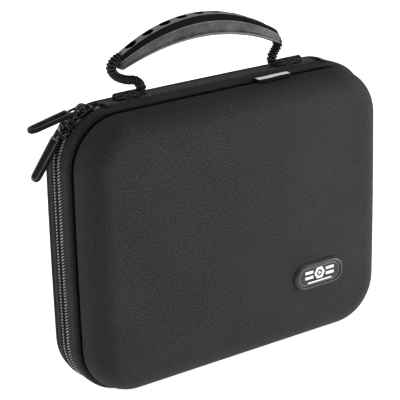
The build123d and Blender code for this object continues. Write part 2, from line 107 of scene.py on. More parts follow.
class Outline:
    """The outline measured by length, in millimetres, from the top left corner arc's upper end."""

    def __init__(self):
        points = outline_points()
        points.append(points[0])
        self.points = points
        self.lengths = [0.0]
        for a, b in zip(points, points[1:]):
            self.lengths.append(self.lengths[-1] + math.hypot(b[0] - a[0], b[1] - a[1]))
        self.total = self.lengths[-1]

    def at(self, length):
        """(x, z, outward x, outward z) at a length along the outline."""
        length %= self.total
        high = min(bisect.bisect_right(self.lengths, length), len(self.lengths) - 1)
        low = high - 1
        span = self.lengths[high] - self.lengths[low]
        t = (length - self.lengths[low]) / span if span else 0.0
        a, b = self.points[low], self.points[high]
        nx = math.cos(a[2]) * (1 - t) + math.cos(b[2]) * t
        nz = math.sin(a[2]) * (1 - t) + math.sin(b[2]) * t
        size = math.hypot(nx, nz)
        return a[0] + (b[0] - a[0]) * t, a[1] + (b[1] - a[1]) * t, nx / size, nz / size

    def corner(self, angle, right=False):
        """Length at an angle up from the side, on the top left or the top right corner."""
        top = math.degrees(math.atan2(CORNER_X, TOP_BULGE_R - CORNER_R))
        run = math.radians(90 - top - angle) * CORNER_R
        if not right:
            return run
        return self.total - 2 * CORNER_X - run


EDGE = Outline()


# ---- mesh tools


def mesh_object(name, points, faces, uvs=None):
    """A mesh object from points in the model's frame, faces and UVs for each face corner."""
    mesh = bpy.data.meshes.new(name)
    mesh.from_pydata(points, [], faces)
    if uvs:
        layer = mesh.uv_layers.new(name="UVMap")
        for polygon, corners in zip(mesh.polygons, uvs):
            for loop, uv in zip(polygon.loop_indices, corners):
                layer.data[loop].uv = uv
    mesh.polygons.foreach_set("use_smooth", [True] * len(mesh.polygons))
    mesh.update()
    piece = bpy.data.objects.new(name, mesh)
    bpy.context.scene.collection.objects.link(piece)
    return piece


def grid(rows, us, vs, wrap_u=False, wrap_v=False):
    """Faces and UVs of a grid of points: rows run along u and each row runs along v."""
    width = len(rows[0])
    points = [p for row in rows for p in row]
    faces, uvs = [], []
    for i in range(len(rows) - (0 if wrap_u else 1)):
        i2 = (i + 1) % len(rows)
        for j in range(width - (0 if wrap_v else 1)):
            j2 = (j + 1) % width
            faces.append((i * width + j, i2 * width + j, i2 * width + j2, i * width + j2))
            uvs.append(
                ((us[i], vs[j]), (us[i + 1], vs[j]), (us[i + 1], vs[j + 1]), (us[i], vs[j + 1]))
            )
    return points, faces, uvs


def inside_out(points, faces, uvs):
    """The same mesh with its faces turned over."""
    faces = [face[:1] + face[:0:-1] for face in faces]
    return points, faces, [corners[:1] + corners[:0:-1] for corners in uvs]


def close_ends(points, faces, uvs, width, flat=None, inward=False):
    """Adds the faces that close both ends of a grid whose rows have the given width."""
    flat = tuple(flat) if flat else ((0.0, 0.0),) * width
    first = tuple(range(width))
    last = tuple(range(len(points) - width, len(points)))
    faces += [first[::-1], last] if inward else [first, last[::-1]]
    uvs += [flat, flat[::-1]]


def swept(rows, us=None, vs=None, flat=None, inward=False):
    """Points, faces and UVs of a closed section carried along the rows, with both ends closed."""
    width = len(rows[0])
    us = us or [i * MM for i in range(len(rows) + 1)]
    vs = vs or [j * MM for j in range(width + 1)]
    points, faces, uvs = grid(rows, us, vs, wrap_v=True)
    close_ends(points, faces, uvs, width, flat, inward)
    return points, faces, uvs


def running(points, close=False):
    """Lengths along a list of points, in millimetres, with the closing one if asked."""
    lengths = [0.0]
    chain = points + [points[0]] if close else points
    for a, b in zip(chain, chain[1:]):
        lengths.append(lengths[-1] + math.dist(a, b))
    return lengths


def rim_sweep(name, section, start=0.0, end=None, step=2.0):
    """A closed section of (inset, y) points carried along the outline, between two lengths of it."""
    whole = end is None
    end = EDGE.total if whole else end
    count = max(8, int((end - start) / step))
    lengths = [start + (end - start) * i / count for i in range(count if whole else count + 1)]
    rows = []
    for length in lengths:
        x, z, nx, nz = EDGE.at(length)
        rows.append([place(x - nx * inset, y, z - nz * inset) for inset, y in section])
    us = [length * MM for length in lengths] + [end * MM]
    vs = [v * MM for v in running(section, close=True)]
    if whole:
        return mesh_object(name, *grid(rows, us, vs, wrap_u=True, wrap_v=True))
    return mesh_object(name, *swept(rows, us, vs, [(inset * MM, y * MM) for inset, y in section]))


SHELL_STATIONS = 440


def shell_cover(name, profile, crown, rings=26, swell=None):
    """A shell's skin: (inset, y) points from the mouth to the top of its edge, then a crowned panel.

    swell(y, up) is how far the edge stands out past the profile, for the outline's upward direction.
    """
    count = SHELL_STATIONS
    stations = [EDGE.at(EDGE.total * i / count) for i in range(count)]
    flat_inset, flat_y = profile[-1]
    reach = running(profile)
    unrolled = [flat_inset - (reach[-1] - r) for r in reach]
    rows = []
    spread_out = []
    for (inset, y), spread in zip(profile, unrolled):
        row = []
        for x, z, nx, nz in stations:
            drawn_in = inset - swell(y, nz) if swell else inset
            row.append(place(x - nx * drawn_in, y, z - nz * drawn_in))
        rows.append(row)
        spread_out += [(x - nx * spread, z - nz * spread) for x, z, nx, nz in stations]
    inner = [(x - nx * flat_inset, z - nz * flat_inset) for x, z, nx, nz in stations]
    for ring in range(1, rings):
        t = ring / rings
        rise = crown * (1 - math.cos(math.pi * t)) / 2
        row = [(x * (1 - t), MIDDLE_Z + (z - MIDDLE_Z) * (1 - t)) for x, z in inner]
        rows.append([place(x, flat_y + rise, z) for x, z in row])
        spread_out += row
    points, faces, _ = grid(rows, range(len(rows)), range(count + 1), wrap_v=True)
    middle = len(points)
    points.append(place(0, flat_y + crown, MIDDLE_Z))
    spread_out.append((0, MIDDLE_Z))
    faces += [(middle - count + j, middle, middle - count + (j + 1) % count) for j in range(count)]
    flat = [(u * MM, v * MM) for u, v in spread_out]
    return mesh_object(name, points, faces, [tuple(flat[k] for k in face) for face in faces])


def tube_data(path, radius, sides, ribs=None, flatten=1.0, up=None):
    """Points, faces and UVs of a cord along a path of points in millimetres.

    ribs(length, turn) scales the radius. flatten scales the section along the fixed up direction.
    """
    rows = []
    lengths = running([tuple(p) for p in path])
    side = Vector(up) if up else None
    normal = None
    for i, p in enumerate(path):
        ahead = Vector(path[min(i + 1, len(path) - 1)])
        behind = Vector(path[max(i - 1, 0)])
        along = (ahead - behind).normalized()
        if side is not None:
            normal = (side - along * side.dot(along)).normalized()
        elif normal is None:
            normal = along.orthogonal().normalized()
        else:
            normal = (normal - along * normal.dot(along)).normalized()
        across = along.cross(normal)
        row = []
        for j in range(sides):
            turn = 2 * math.pi * j / sides
            scale = ribs(lengths[i], turn) if ribs else 1.0
            offset = normal * math.cos(turn) * radius * flatten + across * math.sin(turn) * radius
            row.append(place(*(Vector(p) + offset * scale)))
        rows.append(row)
    us = [length * MM for length in lengths]
    vs = [j / sides * 2 * math.pi * radius * MM for j in range(sides + 1)]
    points, faces, uvs = inside_out(*grid(rows, us, vs, wrap_v=True))
    close_ends(points, faces, uvs, sides, inward=True)
    return points, faces, uvs


def joined(name, parts):
    """One object from several lists of points, faces and UVs."""
    points, faces, uvs = [], [], []
    for part_points, part_faces, part_uvs in parts:
        base = len(points)
        points += part_points
        faces += [tuple(base + i for i in face) for face in part_faces]
        uvs += part_uvs
    return mesh_object(name, points, faces, uvs)


def curve_through(points, per_span):
    """A smooth path through points, by Catmull-Rom spans."""
    knots = [Vector(p) for p in points]
    knots = [knots[0] * 2 - knots[1]] + knots + [knots[-1] * 2 - knots[-2]]
    path = []
    for i in range(1, len(knots) - 2):
        a, b, c, d = knots[i - 1], knots[i], knots[i + 1], knots[i + 2]
        for k in range(per_span):
            t = k / per_span
            bend = (2 * a - 5 * b + 4 * c - d) * t**2
            twist = (3 * b - a - 3 * c + d) * t**3
            path.append(0.5 * (2 * b + (c - a) * t + bend + twist))
    path.append(knots[-2])
    return path


def bead(centre, along, across, out, size, rings, sides):
    """Points, faces and blank UVs of an ellipsoid, with size along, across and out."""
    rows = []
    for i in range(rings + 1):
        polar = math.pi * i / rings
        row = []
        for j in range(sides):
            turn = 2 * math.pi * j / sides
            offset = along * math.cos(polar) * size[0]
            offset += across * math.sin(polar) * math.cos(turn) * size[1]
            offset += out * math.sin(polar) * math.sin(turn) * size[2]
            row.append(place(*(centre + offset)))
        rows.append(row)
    return inside_out(*grid(rows, [0.0] * (rings + 1), [0.0] * (sides + 1), wrap_v=True))


# ---- materials


RIB_PITCH = 2.1
BRAID_PITCH = 2.3


class Paint:
    """A material with its shader, and short ways to add and join nodes."""

    def __init__(self, name):
        self.material = bpy.data.materials.new(name)
        self.material.use_nodes = True
        self.tree = self.material.node_tree
        self.shader = self.tree.nodes["Principled BSDF"]

    def node(self, kind, **values):
        made = self.tree.nodes.new(kind)
        for key, value in values.items():
            setattr(made, key, value)
        return made

    def link(self, source, target):
        self.tree.links.new(source, target)

    def math(self, operation, a, b=None):
        made = self.node("ShaderNodeMath", operation=operation)
        for socket, value in zip(made.inputs, (a, b)):
            if value is None:
                continue
            if isinstance(value, (int, float)):
                socket.default_value = value
            else:
                self.link(value, socket)
        return made.outputs[0]

    def ramp(self, factor, stops):
        made = self.node("ShaderNodeValToRGB")
        elements = made.color_ramp.elements
        while len(elements) < len(stops):
            elements.new(0.5)
        for element, (position, colour) in zip(elements, stops):
            element.position = position
            element.color = (*colour, 1.0)
        self.link(factor, made.inputs["Fac"])
        return made.outputs["Color"]

    def noise(self, scale, detail=2.0, vector=None, roughness=0.5):
        made = self.node("ShaderNodeTexNoise")
        made.inputs["Scale"].default_value = scale
        made.inputs["Detail"].default_value = detail
        made.inputs["Roughness"].default_value = roughness
        if vector is None:
            vector = self.object_place()
        self.link(vector, made.inputs["Vector"])
        return made.outputs["Fac"]

    def object_place(self):
        return self.node("ShaderNodeTexCoord").outputs["Object"]

    def uv(self):
        return self.node("ShaderNodeTexCoord").outputs["UV"]

    def set(self, **values):
        for key, value in values.items():
            self.shader.inputs[key.replace("_", " ")].default_value = value

    def blend(self, *weighed):
        """The sum of values, each times its weight."""
        total = None
        for value, weight in weighed:
            part = self.math("MULTIPLY", value, weight)
            total = part if total is None else self.math("ADD", total, part)
        return total

    def colour(self, factor, *stops):
        """A base colour in greys, from (position, level) stops along the factor."""
        greys = [(position, grey(level)) for position, level in stops]
        self.link(self.ramp(factor, greys), self.shader.inputs["Base Color"])

    def roughness(self, value, weight, least):
        varied = self.math("ADD", self.math("MULTIPLY", value, weight), least)
        self.link(varied, self.shader.inputs["Roughness"])

    def normal(self, normal):
        self.link(normal, self.shader.inputs["Normal"])

    def bump(self, height, strength, distance, under=None):
        made = self.node("ShaderNodeBump")
        made.inputs["Strength"].default_value = strength
        made.inputs["Distance"].default_value = distance
        self.link(height, made.inputs["Height"])
        if under is not None:
            self.link(under, made.inputs["Normal"])
        return made.outputs["Normal"]


def grey(level):
    """A neutral colour."""
    return level, level, level


def woven(name, level, pitch=0.95, turn=0.0):
    """Plain-woven synthetic cloth from UVs in metres, its yarns at the pitch in millimetres."""
    paint = Paint(name)
    uv = paint.uv()
    if turn:
        rotate = paint.node("ShaderNodeVectorRotate", rotation_type="Z_AXIS")
        rotate.inputs["Angle"].default_value = turn
        paint.link(uv, rotate.inputs["Vector"])
        uv = rotate.outputs["Vector"]
    # a slight wander keeps the yarns from looking printed
    wander = paint.node("ShaderNodeTexNoise")
    wander.inputs["Scale"].default_value = 55.0
    paint.link(uv, wander.inputs["Vector"])
    split = paint.node("ShaderNodeSeparateXYZ")
    paint.link(uv, split.inputs["Vector"])
    shift = paint.math("MULTIPLY", wander.outputs["Fac"], 0.0011)
    turns = math.pi / (pitch * MM)
    warp = paint.math("MULTIPLY", paint.math("ADD", split.outputs["X"], shift), turns)
    weft = paint.math("MULTIPLY", paint.math("ADD", split.outputs["Y"], shift), turns)
    over = paint.math("MULTIPLY", paint.math("COSINE", warp), paint.math("COSINE", weft))
    height = paint.math("ADD", paint.math("MULTIPLY", over, 0.5), 0.5)
    # fine filaments along both yarns and slow changes of tone over the cloth
    fine = paint.noise(2600.0, 2.0, uv)
    slow = paint.noise(22.0, 3.0, uv)
    speck = paint.noise(1050.0, 3.0, uv, 0.75)
    # the weave's height also lightens the yarns and darkens the gaps between them: painted light and painted
    # shade
    tone = paint.blend((height, 0.275), (fine, 0.35), (speck, 0.45), (slow, 0.05))
    paint.colour(tone, (0.45, level * 0.12), (0.56, level * 0.9), (0.7, level * 3.8))
    paint.roughness(fine, 0.2, 0.7)
    paint.normal(paint.bump(height, 0.35, 0.0005, paint.bump(fine, 0.25, 0.0002)))
    paint.set(Sheen_Weight=0.03, Sheen_Roughness=0.5, Specular_IOR_Level=0.05)
    return paint.material


def ribbed(name, level, pitch):
    """Tape or webbing with fine ribs across its length, from UVs in metres."""
    paint = Paint(name)
    uv = paint.uv()
    split = paint.node("ShaderNodeSeparateXYZ")
    paint.link(uv, split.inputs["Vector"])
    turns = 2 * math.pi / (pitch * MM)
    along = paint.math("MULTIPLY", split.outputs["X"], turns)
    across = paint.math("MULTIPLY", split.outputs["Y"], turns * 0.9)
    slant = paint.math("SINE", paint.math("ADD", along, across))
    herring = paint.math("SINE", paint.math("SUBTRACT", along, across))
    ribs = paint.math("MULTIPLY", paint.math("ADD", slant, herring), 0.25)
    height = paint.math("ADD", ribs, 0.5)
    fine = paint.noise(2400.0, 2.0)
    # the ribs' crests come out paler and their grooves darker: painted highlights and painted shade
    tone = paint.blend((height, 0.6), (fine, 0.4))
    paint.colour(tone, (0.2, level * 0.35), (0.55, level), (0.9, level * 2.2))
    paint.normal(paint.bump(height, 0.5, 0.0004, paint.bump(fine, 0.3, 0.0002)))
    paint.set(Roughness=0.8, Sheen_Weight=0.02, Sheen_Roughness=0.5, Specular_IOR_Level=0.04)
    return paint.material


def pleated(name, valley_shade, crest_highlight, pitch):
    """Webbing gathered in pleats across its length: painted shade between them, painted highlights on their
    crests.
    """
    paint = Paint(name)
    split = paint.node("ShaderNodeSeparateXYZ")
    paint.link(paint.uv(), split.inputs["Vector"])
    phase = paint.math("MULTIPLY", split.outputs["X"], math.pi / (pitch * MM))
    height = paint.math("ABSOLUTE", paint.math("SINE", phase))
    fine = paint.noise(1500.0, 3.0, roughness=0.7)
    # the pleat height sets the colour: pale crests are painted highlights, black valleys painted shade
    tone = paint.blend((height, 0.7), (fine, 0.6))
    paint.colour(tone, (0.55, valley_shade), (0.85, crest_highlight * 0.35), (1.0, crest_highlight))
    paint.normal(paint.bump(fine, 0.5, 0.0004))
    paint.set(Roughness=0.6, Specular_IOR_Level=0.1)
    return paint.material


def moulded(name, level, rough=0.45, grain=900.0, bump=0.12, wear=0.3, gloss=0.12):
    """Moulded rubber or plastic with a fine grain and slight handling marks."""
    paint = Paint(name)
    fine = paint.noise(grain, 3.0)
    marks = paint.noise(70.0, 4.0, roughness=0.65)
    paint.colour(marks, (0.3, level * (1 - wear)), (0.55, level), (0.8, level * (1 + wear)))
    paint.roughness(marks, 0.18, rough - 0.09)
    paint.normal(paint.bump(fine, bump, 0.0003))
    paint.set(Specular_IOR_Level=gloss)
    return paint.material


def painted_metal(name, level, rough, glint_level):
    """Black enamel over die-cast metal, with pale specks painted in places as highlights."""
    paint = Paint(name)
    marks = paint.noise(520.0, 4.0, roughness=0.7)
    worn = paint.noise(900.0, 2.0)
    # the palest specks are painted highlights on the enamel
    paint.colour(marks, (0.55, level), (0.6, level * 4), (0.65, glint_level))
    paint.roughness(marks, 0.25, rough - 0.1)
    paint.normal(paint.bump(worn, 0.1, 0.0002))
    paint.set(Metallic=0.0, Specular_IOR_Level=0.3, Coat_Weight=0.1, Coat_Roughness=0.1)
    return paint.material


def foam(name, level):
    """Open-cell foam: small pits of many sizes."""
    paint = Paint(name)
    cells = paint.node("ShaderNodeTexVoronoi")
    cells.inputs["Scale"].default_value = 750.0
    paint.link(paint.object_place(), cells.inputs["Vector"])
    patches = paint.noise(160.0, 4.0)
    tone = paint.blend((cells.outputs["Distance"], 0.8), (patches, 0.4))
    paint.colour(tone, (0.15, level * 1.35), (0.5, level), (0.85, level * 0.35))
    inverse = paint.math("SUBTRACT", 1.0, cells.outputs["Distance"])
    paint.normal(paint.bump(inverse, 0.6, 0.0006))
    paint.set(Roughness=0.95, Sheen_Weight=0.2, Specular_IOR_Level=0.2)
    return paint.material


def knit(name, level):
    """Fine knitted lining: small loops that need no direction."""
    paint = Paint(name)
    loops = paint.node("ShaderNodeTexVoronoi", feature="SMOOTH_F1")
    loops.inputs["Scale"].default_value = 1100.0
    paint.link(paint.object_place(), loops.inputs["Vector"])
    slow = paint.noise(40.0, 3.0)
    tone = paint.blend((loops.outputs["Distance"], 0.7), (slow, 0.4))
    paint.colour(tone, (0.2, level * 1.5), (0.5, level), (0.9, level * 0.5))
    paint.normal(paint.bump(loops.outputs["Distance"], 0.4, 0.0004))
    paint.set(Roughness=0.9, Sheen_Weight=0.35, Sheen_Roughness=0.45)
    return paint.material


def coil_nylon(name, level):
    """Extruded nylon of the zip's teeth, a little glossy, with dusty tone changes."""
    paint = Paint(name)
    tone = paint.noise(500.0, 3.0)
    paint.colour(tone, (0.3, level * 0.7), (0.7, level * 1.5))
    paint.normal(paint.bump(tone, 0.1, 0.0002))
    paint.set(Roughness=0.32, Specular_IOR_Level=0.2)
    return paint.material


def printed_white(name, level, weave=False):
    """Off-white print or woven label, with faint threads or dust."""
    paint = Paint(name)
    dust = paint.noise(1500.0 if weave else 400.0, 3.0)
    paint.colour(dust, (0.3, level * 0.88), (0.6, level), (0.85, level * 1.05))
    paint.normal(paint.bump(dust, 0.25 if weave else 0.08, 0.0002))
    paint.set(Roughness=0.75 if weave else 0.5)
    return paint.material


NYLON = woven("woven_nylon", 0.0175)
NYLON_BAND = woven("woven_nylon_band", 0.017, pitch=0.9)
# a paler copy of the nylon for the spine and piping: painted light on the top, where light falls from above
NYLON_SPINE_LIT = woven("woven_nylon_spine_painted_light", 0.05, turn=0.6)
# near-black cloth for the groove round the front shell: painted shade where the groove is in shadow
GROOVE_SHADE = ribbed("groove_painted_shade", 0.0015, pitch=0.8)
TAPE = ribbed("zip_tape_cloth", 0.003, pitch=0.8)
# the webbing's pleats carry painted highlights on their crests and painted shade between them
WEBBING = pleated("webbing_cloth", 0.0015, 0.04, RIB_PITCH)
BRAID = pleated("webbing_braid", 0.0015, 0.04, BRAID_PITCH)
BINDING = ribbed("binding_cloth", 0.018, pitch=1.0)
THREAD = ribbed("sewing_thread", 0.012, pitch=0.5)
# the coil's loops are painted pale as highlights on the black coil
COIL = coil_nylon("coil_nylon", 0.34)
COIL_WIRE = coil_nylon("coil_wire_dark", 0.003)
LINING = knit("lining_knit", 0.032)
FOAM = foam("foam_charcoal", 0.05)
# one rubber for the whole grip; beside the satin side, the levels are painted light: a pale top, pale ridges
# as painted highlights, a near-black bevel and pits as painted shade
GRIP_SIDE = moulded("grip_satin", 0.055, rough=0.45, wear=0.75, bump=0.1, gloss=0.1)
GRIP_TOP_LIT = moulded("grip_top_painted_light", 0.2, rough=0.4, wear=0.3, bump=0.08)
GRIP_BEVEL_SHADE = moulded("grip_bevel_painted_shade", 0.0045, rough=0.4, wear=0.3, bump=0.08, gloss=0.06)
GRIP_RIDGE_HIGHLIGHT = moulded("grip_ridge_painted_highlight", 0.13, rough=0.35, wear=0.3, bump=0.05)
GRIP_PIT_SHADE = moulded("grip_pits_painted_shade", 0.001, rough=0.9, wear=0.1, gloss=0.0)
PULL = moulded("pull_rubber", 0.006, rough=0.5, wear=0.4, bump=0.15, gloss=0.1)
# the pull's rounded rim is painted pale as a highlight
PULL_EDGE_HIGHLIGHT = moulded("pull_rubber_painted_highlight", 0.15, rough=0.42, wear=0.3, bump=0.1, gloss=0.2)
BADGE = moulded("badge_plastic", 0.034, rough=0.36, wear=0.25, bump=0.08, gloss=0.25)
BADGE_FACE = moulded("badge_face", 0.032, rough=0.5, wear=0.15, grain=1600.0, bump=0.2)
# a pale bead as a painted highlight along the rim's inner edge, and a near-black groove floor as painted
# shade
BADGE_BEAD_HIGHLIGHT = moulded("badge_bead_painted_highlight", 0.2, rough=0.4, wear=0.2, bump=0.05)
BADGE_GROOVE_SHADE = moulded("badge_groove_shade", 0.002, rough=0.8, wear=0.1, gloss=0.05)
METAL = painted_metal("black_metal", 0.003, rough=0.2, glint_level=0.75)
WHITE = printed_white("white_print", 0.85)
LABEL_WHITE = printed_white("label_white", 0.95, weave=True)
# the label's roll is painted near-black as shade under the white fold
LABEL_ROLL_SHADE = ribbed("label_roll_painted_shade", 0.006, pitch=0.7)


def dress(piece, material, body, slot, *replaced):
    """Gives a finished piece its material, body and the CAD nodes it stands for. The slot is not used."""
    if not piece.data.materials:
        piece.data.materials.append(material)
    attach(piece, body)
    if replaced:
        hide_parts(*replaced)
    return piece


def add_materials(piece, *materials):
    """Gives a piece its material slots, in order."""
    for material in materials:
        piece.data.materials.append(material)


def paint_faces(piece, first, last, slot):
    """Puts a run of faces on one of the piece's material slots."""
    for face in range(first, last):
        piece.data.polygons[face].material_index = slot


def cad_paint(material, *nodes):
    """Puts a material on CAD nodes that are shown as they are."""
    for name in nodes:
        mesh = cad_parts[name].data
        mesh.materials.clear()
        mesh.materials.append(material)


# ---- shells


def rounded(centre_inset, centre_y, radius, start, end, steps):
    """Arc points of a profile in (inset, y), between two angles in degrees from the outward direction."""
    made = []
    for i in range(steps + 1):
        turn = math.radians(start + (end - start) * i / steps)
        made.append((centre_inset - radius * math.cos(turn), centre_y - radius * math.sin(turn)))
    return made


ZIP_HALF = 5.5
HALVES = ((-1, "base", "front"), (1, "lid", "back"))

front_profile = [(7.7, -5.7), (5.8, -5.6), (4.0, -5.7), (4.0, -10.0), (4.0, -14.6)]
GROOVE_FROM = len(front_profile) - 2
front_profile += [(5.0, -15.3), (5.3, -16.2), (5.1, -17.0), (4.2, -17.8)]
GROOVE_TO = len(front_profile) - 1
front_profile += [(3.45, -18.3), (3.1, -19.0), (3.0, -20.0)]
front_profile += rounded(20.79, -23.0, 17.0, 7, 90, 18)
front_cover = shell_cover("front_cover", front_profile, -0.9)
add_materials(front_cover, NYLON, GROOVE_SHADE)
# the groove's faces take the near-black painted shade
paint_faces(front_cover, GROOVE_FROM * SHELL_STATIONS, GROOVE_TO * SHELL_STATIONS, 1)
dress(front_cover, NYLON, "base", "woven_nylon", "front_shell")

BACK_SWELL = 2.1
SWELL_FROM_Y = 11.2
SWELL_RISE = 1.3


def back_swell(y, up):
    """The back shell's edge stands out at its sides and foot, and is drawn in along the top."""
    clear_of_band = min(1.0, max(0.0, (y - SWELL_FROM_Y) / SWELL_RISE))
    return BACK_SWELL * clear_of_band * (1 - max(0.0, up))


back_profile = [(7.7, 5.7), (5.8, 5.6), (4.0, 5.7), (4.0, 9.0), (4.0, 11.2)]
back_profile += [(3.8, 11.9), (3.3, 12.3), (2.95, 12.7), (2.82, 13.2)]
back_profile += [(inset, -y) for inset, y in rounded(7.4, -13.4, 4.6, 0, 90, 10)]
back_cover = shell_cover("back_cover", back_profile, 0.0, swell=back_swell)
dress(back_cover, NYLON, "lid", "woven_nylon", "back_shell")


BAND_DEPTH = {"front": 9.5, "back": 6.0}
BAND_EDGE = 1.7
BAND_FOLD = 0.8


def soft_band(side, depth, edge, fold):
    """Section of a rim band: a soft outer face with rounded edges, as (inset, y) points."""
    face = [(3.88, 0.05), (2.2, 0.0), (fold, 0.0), (fold * 0.35, 0.25), (0.06, fold * 0.9)]
    face += [(0.0, fold * 1.6), (0.02, depth * 0.3), (0.0, depth * 0.5), (0.05, depth * 0.72)]
    face += [(0.12, depth - edge * 1.1), (0.45, depth - edge * 0.5), (1.0, depth - edge * 0.16)]
    face += [(edge * 1.2, depth), (3.0, depth - 0.05), (3.88, depth - 0.3)]
    return [(inset, side * (ZIP_HALF + y)) for inset, y in face]


for side, body, word in HALVES:
    section = soft_band(side, BAND_DEPTH[word], BAND_EDGE, BAND_FOLD)
    band = rim_sweep(f"{word}_band_cover", section, step=1.5)
    dress(band, NYLON_BAND, body, "woven_nylon", f"{word}_rim_band")

SPINE_END_ANGLE = 88
PIPING_END_ANGLE = 87
PIPING_R = 0.85
PIPING_INSET = 0.75
PIPING_SIDES = 10


def over_the_top(name, section, angle):
    """A section carried along the top, between the same angle of both top corners."""
    return rim_sweep(name, section, EDGE.corner(angle, right=True), EDGE.total + EDGE.corner(angle))


spine_section = [(0.0, -5.4), (-0.12, -3.0), (-0.15, 0.0), (-0.12, 3.0), (0.0, 5.4), (2.0, 5.4), (2.0, -5.4)]
spine = over_the_top("spine_cloth", spine_section, SPINE_END_ANGLE)
# the spine and its piping are painted paler than the shell's nylon, as light from above
dress(spine, NYLON_SPINE_LIT, "base", "woven_nylon", "spine_strip")

# the piping along the fold, on the lid's hinge line
piping_section = []
for i in range(PIPING_SIDES):
    turn = 2 * math.pi * i / PIPING_SIDES
    piping_section.append((PIPING_INSET + PIPING_R * math.cos(turn), ZIP_HALF + PIPING_R * math.sin(turn)))
piping = over_the_top("spine_piping", piping_section, PIPING_END_ANGLE)
dress(piping, NYLON_SPINE_LIT, "base", "woven_nylon")

# ---- zip

ZIP_END_ANGLE = 82
ZIP_START = EDGE.corner(ZIP_END_ANGLE)
ZIP_END = EDGE.corner(ZIP_END_ANGLE, right=True)
TOOTH_PITCH = 2.3
TOOTH_LEAN = 0.34
# the loops of each coil, painted pale as highlights: distance from the zip's middle, half length, half width
# and lean
LOOPS = {"front": (2.35, 2.1, 0.45, 0.8), "back": (3.9, 0.8, 0.75, 0.34)}
LOOP_DEPTH = 1.05
LOOP_THICKNESS = 0.95
# the dark wires and their heads: distance from the zip's middle, depth, and size along, across and out
WIRE_REACH, WIRE_DEPTH, WIRE_SIZE = 1.9, 1.45, (1.9, 0.6, 0.75)
HEAD_REACH, HEAD_DEPTH, HEAD_SIZE = 0.7, 1.3, (0.7, 0.95, 0.9)
HEAD_SHIFT = 0.22

STITCH_LENGTH = 2.0
STITCH_LIFT = 0.22
STITCH_DEPTH = 0.1
STITCH_STEPS = 4
# each row of lockstitch: distance from the zip's middle, and inset of the surface it lies on
STITCH_ROWS = ((2.4, 0.75), (4.9, 2.25))
THREAD_R = 0.17


def coil(side, word):
    """One row of the zip's teeth: the loops painted pale as highlights, and the darker wires with their
    interlocking heads.
    """
    reach, half_length, half_width, lean = LOOPS[word]
    loops, wires = [], []
    for i in range(int((ZIP_END - ZIP_START) / TOOTH_PITCH)):
        x, z, nx, nz = EDGE.at(ZIP_START + (i + (0.25 if side > 0 else 0.75)) * TOOTH_PITCH)
        out = Vector((nx, 0, nz))
        along = Vector((-nz, 0, nx))
        slant = (Vector((0, side, 0)) + along * TOOTH_LEAN * side).normalized()
        across = slant.cross(out).normalized()
        surface = Vector((x, 0, z))
        centre = surface + Vector((0, side * WIRE_REACH, 0)) - out * WIRE_DEPTH
        wires.append(bead(centre, slant, across, out, WIRE_SIZE, 5, 7))
        head = surface + Vector((0, side * HEAD_REACH, 0)) - out * HEAD_DEPTH - along * HEAD_SHIFT
        wires.append(bead(head, Vector((0, 1, 0)), across, out, HEAD_SIZE, 4, 6))
        loop = surface + Vector((0, side * reach, 0)) + along * side * lean * reach - out * LOOP_DEPTH
        wire = (Vector((0, side, 0)) + along * side * lean).normalized()
        size = (half_length, half_width, LOOP_THICKNESS)
        loops.append(bead(loop, wire, wire.cross(out).normalized(), out, size, 6, 8))
    return loops, wires


def lockstitch(side, row, inset):
    """One row of short stitches that holds a coil on its tape."""
    threads = []
    stitch = ZIP_START + 1.0
    while stitch < ZIP_END - STITCH_LENGTH - 0.6:
        path = []
        for k in range(STITCH_STEPS + 1):
            t = k / STITCH_STEPS
            x, z, nx, nz = EDGE.at(stitch + STITCH_LENGTH * t)
            drawn_in = inset - (STITCH_LIFT * math.sin(math.pi * t) - STITCH_DEPTH)
            path.append(Vector((x - nx * drawn_in, side * row, z - nz * drawn_in)))
        threads.append(tube_data(path, THREAD_R, 5))
        stitch += TOOTH_PITCH
    return threads


for side, body, word in HALVES:
    tape_section = [(2.3, side * 0.2), (2.3, side * 2.0), (2.25, side * 3.6), (2.2, side * ZIP_HALF)]
    tape_section += [(3.1, side * ZIP_HALF), (3.1, side * 0.2)]
    tape = rim_sweep(f"{word}_tape_cloth", tape_section, ZIP_START, ZIP_END)
    dress(tape, TAPE, body, "zip_tape", f"{word}_zip_tape")
    loops, wires = coil(side, word)
    dress(joined(f"{word}_teeth", loops), COIL, body, "zip_coil", f"{word}_zip_coil")
    dress(joined(f"{word}_coil_wires", wires), COIL_WIRE, body, "zip_coil")
    threads = []
    for row, inset in STITCH_ROWS:
        threads += lockstitch(side, row, inset)
    dress(joined(f"{word}_coil_stitches", threads), THREAD, body, "zip_tape")

# bar tacks over the ends of the zip, where the spine cloth takes over
TACKS = 9
TACK_FROM_ANGLE = 83.2
TACK_STEP_ANGLE = 0.62
TACK_R = 0.24

tacks = []
for right in (False, True):
    for i in range(TACKS):
        x, z, nx, nz = EDGE.at(EDGE.corner(TACK_FROM_ANGLE + i * TACK_STEP_ANGLE, right))
        wobble = random.uniform(-0.4, 0.4)
        y_far = -5.2 - (5.6 if i % 2 else 4.8) + wobble
        bow = ((-5.4, -0.2), (-6.0, 0.14), ((y_far - 5.5) / 2, 0.2), (y_far, 0.12), (y_far - 0.4, -0.25))
        path = [Vector((x + nx * rise, y, z + nz * rise)) for y, rise in bow]
        tacks.append(tube_data(path, TACK_R, 6))
dress(joined("end_bar_tacks", tacks), THREAD, "base", "zip_tape")

END_TAB_ANGLE = 85
END_TAB_HALF = 2.0
END_TAB_STEPS = 6
END_TAB_SECTION = [(-0.75, -5.3), (-0.8, -3.0), (-0.8, -0.4), (-0.2, -0.1), (-0.05, -5.45)]

